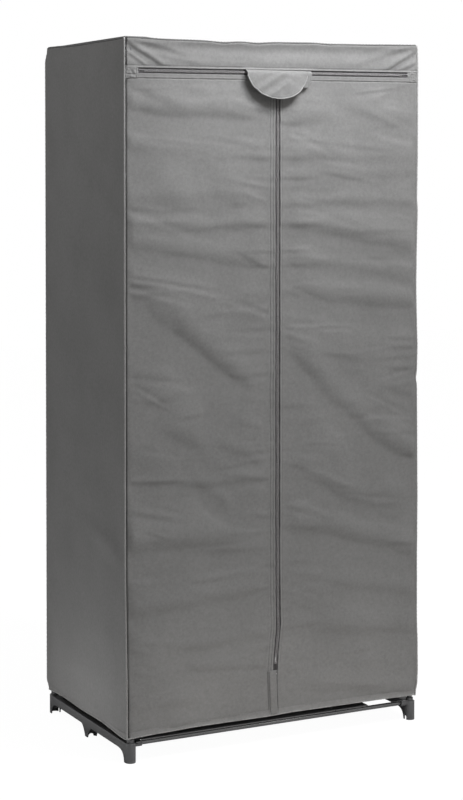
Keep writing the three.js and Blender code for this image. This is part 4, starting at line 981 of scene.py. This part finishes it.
for side, sign in (("left", -1), ("right", 1)):
    patch = cloth_piece(f"zip_end_patch_{side}", 34, 36, patch_face(sign), thickness=0.9)
    seat(patch, front_cloth, stands_for=[f"header_corner_{side}"])


# Storm flap: a half round of cover cloth with a second layer at its right end, sewn under the
# header band and bound round its curved edge. It hangs clear of the sliders.
FLAP_TOP, FLAP_DEPTH = 1531, 65
FLAP_LEFT, FLAP_RIGHT, FLAP_LOW_X = 81, 76, -4
FACING_LEFT, FACING_WIDE, FACING_TALL = 52, 32.5, 39


def flap_stand(x, drop):
    free = smooth((FLAP_LOW_X + FLAP_RIGHT - x) / 36)
    return 0.6 + (7.6 + free * 2) * (1 - np.exp(-drop / 3.2)) + free * 0.11 * drop


def flap_creases(x, z):
    rising = z - 1485 - 0.565 * (x + 17)
    falling = z - 1504 + 0.5 * (x - 17)
    folds = 1.5 * bell(rising + 4, 6) - 1.3 * bell(rising - 10, 7)
    folds += 1.2 * bell(rising - 26, 6) - 0.9 * bell(rising - 38, 7)
    folds *= smooth((34 - x) / 30)
    return folds + 0.9 * bell(falling, 8) * smooth((x - 8) / 14) + ripple(x, z, 26, 0.25, 83)


def flap_face(u, v):
    across = np.sin((2 * u - 1) * 0.985 * math.pi / 2) * 0.985
    x = FLAP_LOW_X + across * np.where(across < 0, FLAP_LEFT, FLAP_RIGHT)
    drop = FLAP_DEPTH * np.sqrt(1 - across * across) * (1 - v) ** 2
    z = FLAP_TOP - drop
    soft = flap_creases(x, z) * smooth(drop / 12)
    tucked = 1.1 * np.exp(-drop / 1.6)
    return x, FRONT - 3.3 + tucked - flap_stand(x, drop) - soft, z


def lift_with_flap(piece):
    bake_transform(piece)


flap = cloth_piece("flap_cloth", 90, 40, flap_face, thickness=1.2)
seat(flap, front_cloth, body=None, stands_for=["flap"])
lift_with_flap(flap)

rim = spots(*flap_face(np.linspace(0, 1, 150), 0.004))
rim[:, 1] += 0.6
# The binding is coloured paler than the flap: a painted highlight along its lower rim.
bound = rolled_seam("flap_binding", rim, 1.5, 0.1, 81, sides=8)
seat(bound, edge_cloth_painted_highlight, body=None)
lift_with_flap(bound)

x, y, z = flap_face(np.linspace(0.04, 0.96, 90), 0.055)
lift_with_flap(stitch_row("flap_stitches", (x, y - 0.15, z), 3.1, body=None))


def facing_face(u, v):
    drop = (FACING_TALL - 19 * np.clip((u - 0.68) / 0.32, 0, 1)) * (1 - v)
    x = FACING_LEFT + FACING_WIDE * u - 0.05 * drop * u
    stand = 1.8 + 7.6 * (1 - np.exp(-drop / 2.6)) - 0.35 * bell(u - 0.9, 0.05)
    return x, FRONT - stand, FLAP_TOP - drop


facing = cloth_piece("flap_facing_cloth", 30, 22, facing_face, thickness=1.1)
seat(facing, front_cloth, body=None, stands_for=["flap_facing"])
lift_with_flap(facing)
for name, at in (("facing_stitches_76", 76.5), ("facing_stitches_81", 81)):
    x, y, z = facing_face((at - FACING_LEFT) / FACING_WIDE, np.linspace(0.08, 0.96, 12))
    lift_with_flap(stitch_row(name, (x, y - 0.2, z), 3.1, body=None))


# Sliders, pulls and the bottom stop of the zip: die-cast zinc with a worn grey lacquer, polished
# where fingers hold it. The stop is a small staple across the coil.
metal = Surface("lacquered_zinc")
cloud = metal.noise(320, 5)
lacquer = metal.ramp(cloud, (0.3, (0.16, 0.16, 0.17)), (0.7, (0.22, 0.22, 0.23)))
zinc = metal.finish({
    "Base Color": metal.mix(metal.edges(0.58), lacquer, (0.5, 0.5, 0.52, 1)),
    "Roughness": metal.ramp(cloud, (0.3, 0.28), (0.7, 0.48)),
    "Normal": metal.bump(cloud, 0.15, 0.0001), "Metallic": 0.85,
})
for where in ("centre", "left", "right"):
    dress([f"slider_{where}", f"pull_{where}"], zinc)
STAPLE_WIDE = 6.4
middle = np.array(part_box("zip_stop")).mean(axis=0) / MM
left_end = (along_line(middle[2], ZIP_LINE) - STAPLE_WIDE / 2, middle[1], middle[2])
staple = mirrored([(0, 0.7), (0.4, 1.1)], STAPLE_WIDE)
stop = turned("zip_stop_staple", X, left_end, staple, sides=12)
seat(stop, zinc, stands_for=["zip_stop"])


# Studio: a pale floor that keeps the wardrobe's shadow, white surroundings, soft lamps above the
# front and high on the right, light thrown back by the floor, and the camera to the left.
FLOOR_REACH = 9
corners = [(x * FLOOR_REACH, y * FLOOR_REACH, 0) for x, y in ((-1, -1), (1, -1), (1, 1), (-1, 1))]
floor = mesh_piece("studio_floor", corners, [(0, 1, 2, 3)], smooth=False)
pale = Surface("pale_floor")
grey = pale.ramp(pale.noise(30, 4), (0.3, 0.82), (0.7, 0.84))
floor.data.materials.append(pale.finish({"Base Color": grey, "Roughness": 0.9}))
straight = pale.maths("MULTIPLY", pale.add("LightPath").outputs["Is Camera Ray"], 0.9)
lit = pale.tree.nodes["Principled BSDF"].outputs["BSDF"]
white = pale.add("Emission", {"Color": (1, 1, 1, 1), "Strength": 1.08}).outputs["Emission"]
both = pale.add("MixShader", {0: straight, 1: lit, 2: white}).outputs["Shader"]
pale.feed(pale.tree.nodes["Material Output"], {"Surface": both})

scene = bpy.context.scene
scene.world = bpy.data.worlds.new("studio")
sky = Surface("studio", scene.world)
rays = sky.add("LightPath").outputs
seen = sky.maths("MAXIMUM", rays["Is Camera Ray"], rays["Is Glossy Ray"])
seen = sky.maths("MAXIMUM", seen, rays["Is Transmission Ray"])
level = sky.add("MapRange", {"Value": seen, "To Min": 0.225, "To Max": 1}).outputs["Result"]
sky.feed(sky.tree.nodes["Background"], {"Color": (1, 1, 1, 1), "Strength": level})


def soft_lamp(name, place, aim, width, height, watts, colour=(1, 1, 1)):
    data = bpy.data.lights.new(name, "AREA")
    data.shape, data.size, data.size_y = "RECTANGLE", width, height
    data.energy, data.color = watts, colour
    lamp = bpy.data.objects.new(name, data)
    scene.collection.objects.link(lamp)
    lamp.location = place
    lamp.rotation_euler = (Vector(aim) - Vector(place)).to_track_quat("-Z", "Y").to_euler()
    lamp.visible_camera = False


soft_lamp("lamp_above_front", (0.12, -0.75, 2.15), (0, -0.25, 1.35), 0.6, 0.3, 12.4,
          (0.95, 0.97, 1))
soft_lamp("lamp_upper_right", (1.14, -1.46, 3.5), (0, -0.23, 1.4), 0.4, 0.4, 41.5,
          (1, 0.995, 0.98))
soft_lamp("lamp_low_front", (1.6, -2.4, 2.25), (0, -0.22, 0.1), 0.5, 0.5, 6, (1, 0.97, 0.93))
soft_lamp("lamp_upper_left", (-1.5, 0.1, 2.5), (-0.375, 0, 1.45), 0.8, 0.8, 4)
soft_lamp("floor_bounce_left", (-0.56, 0, 0.015), (-0.56, 0, 1), 0.25, 0.45, 0.48)
soft_lamp("floor_bounce_front", (0, -0.42, 0.015), (0, -0.42, 1), 0.8, 0.25, 0.45, (1, 0.95, 0.9))

eye = bpy.data.cameras.new("camera")
camera = bpy.data.objects.new("camera", eye)
scene.collection.objects.link(camera)
LOOKS_DOWN, FROM_THE_LEFT = 1.65, 27.403
camera.location = (-2.0880, -4.0301, 1.3079)
camera.rotation_euler = (math.radians(90 - LOOKS_DOWN), 0, -math.radians(FROM_THE_LEFT))
eye.sensor_fit = "AUTO"
eye.sensor_width = 36
eye.lens = 85.95
eye.shift_y = -0.22
eye.clip_end = 60
scene.camera = camera
scene.view_settings.view_transform = "Standard"
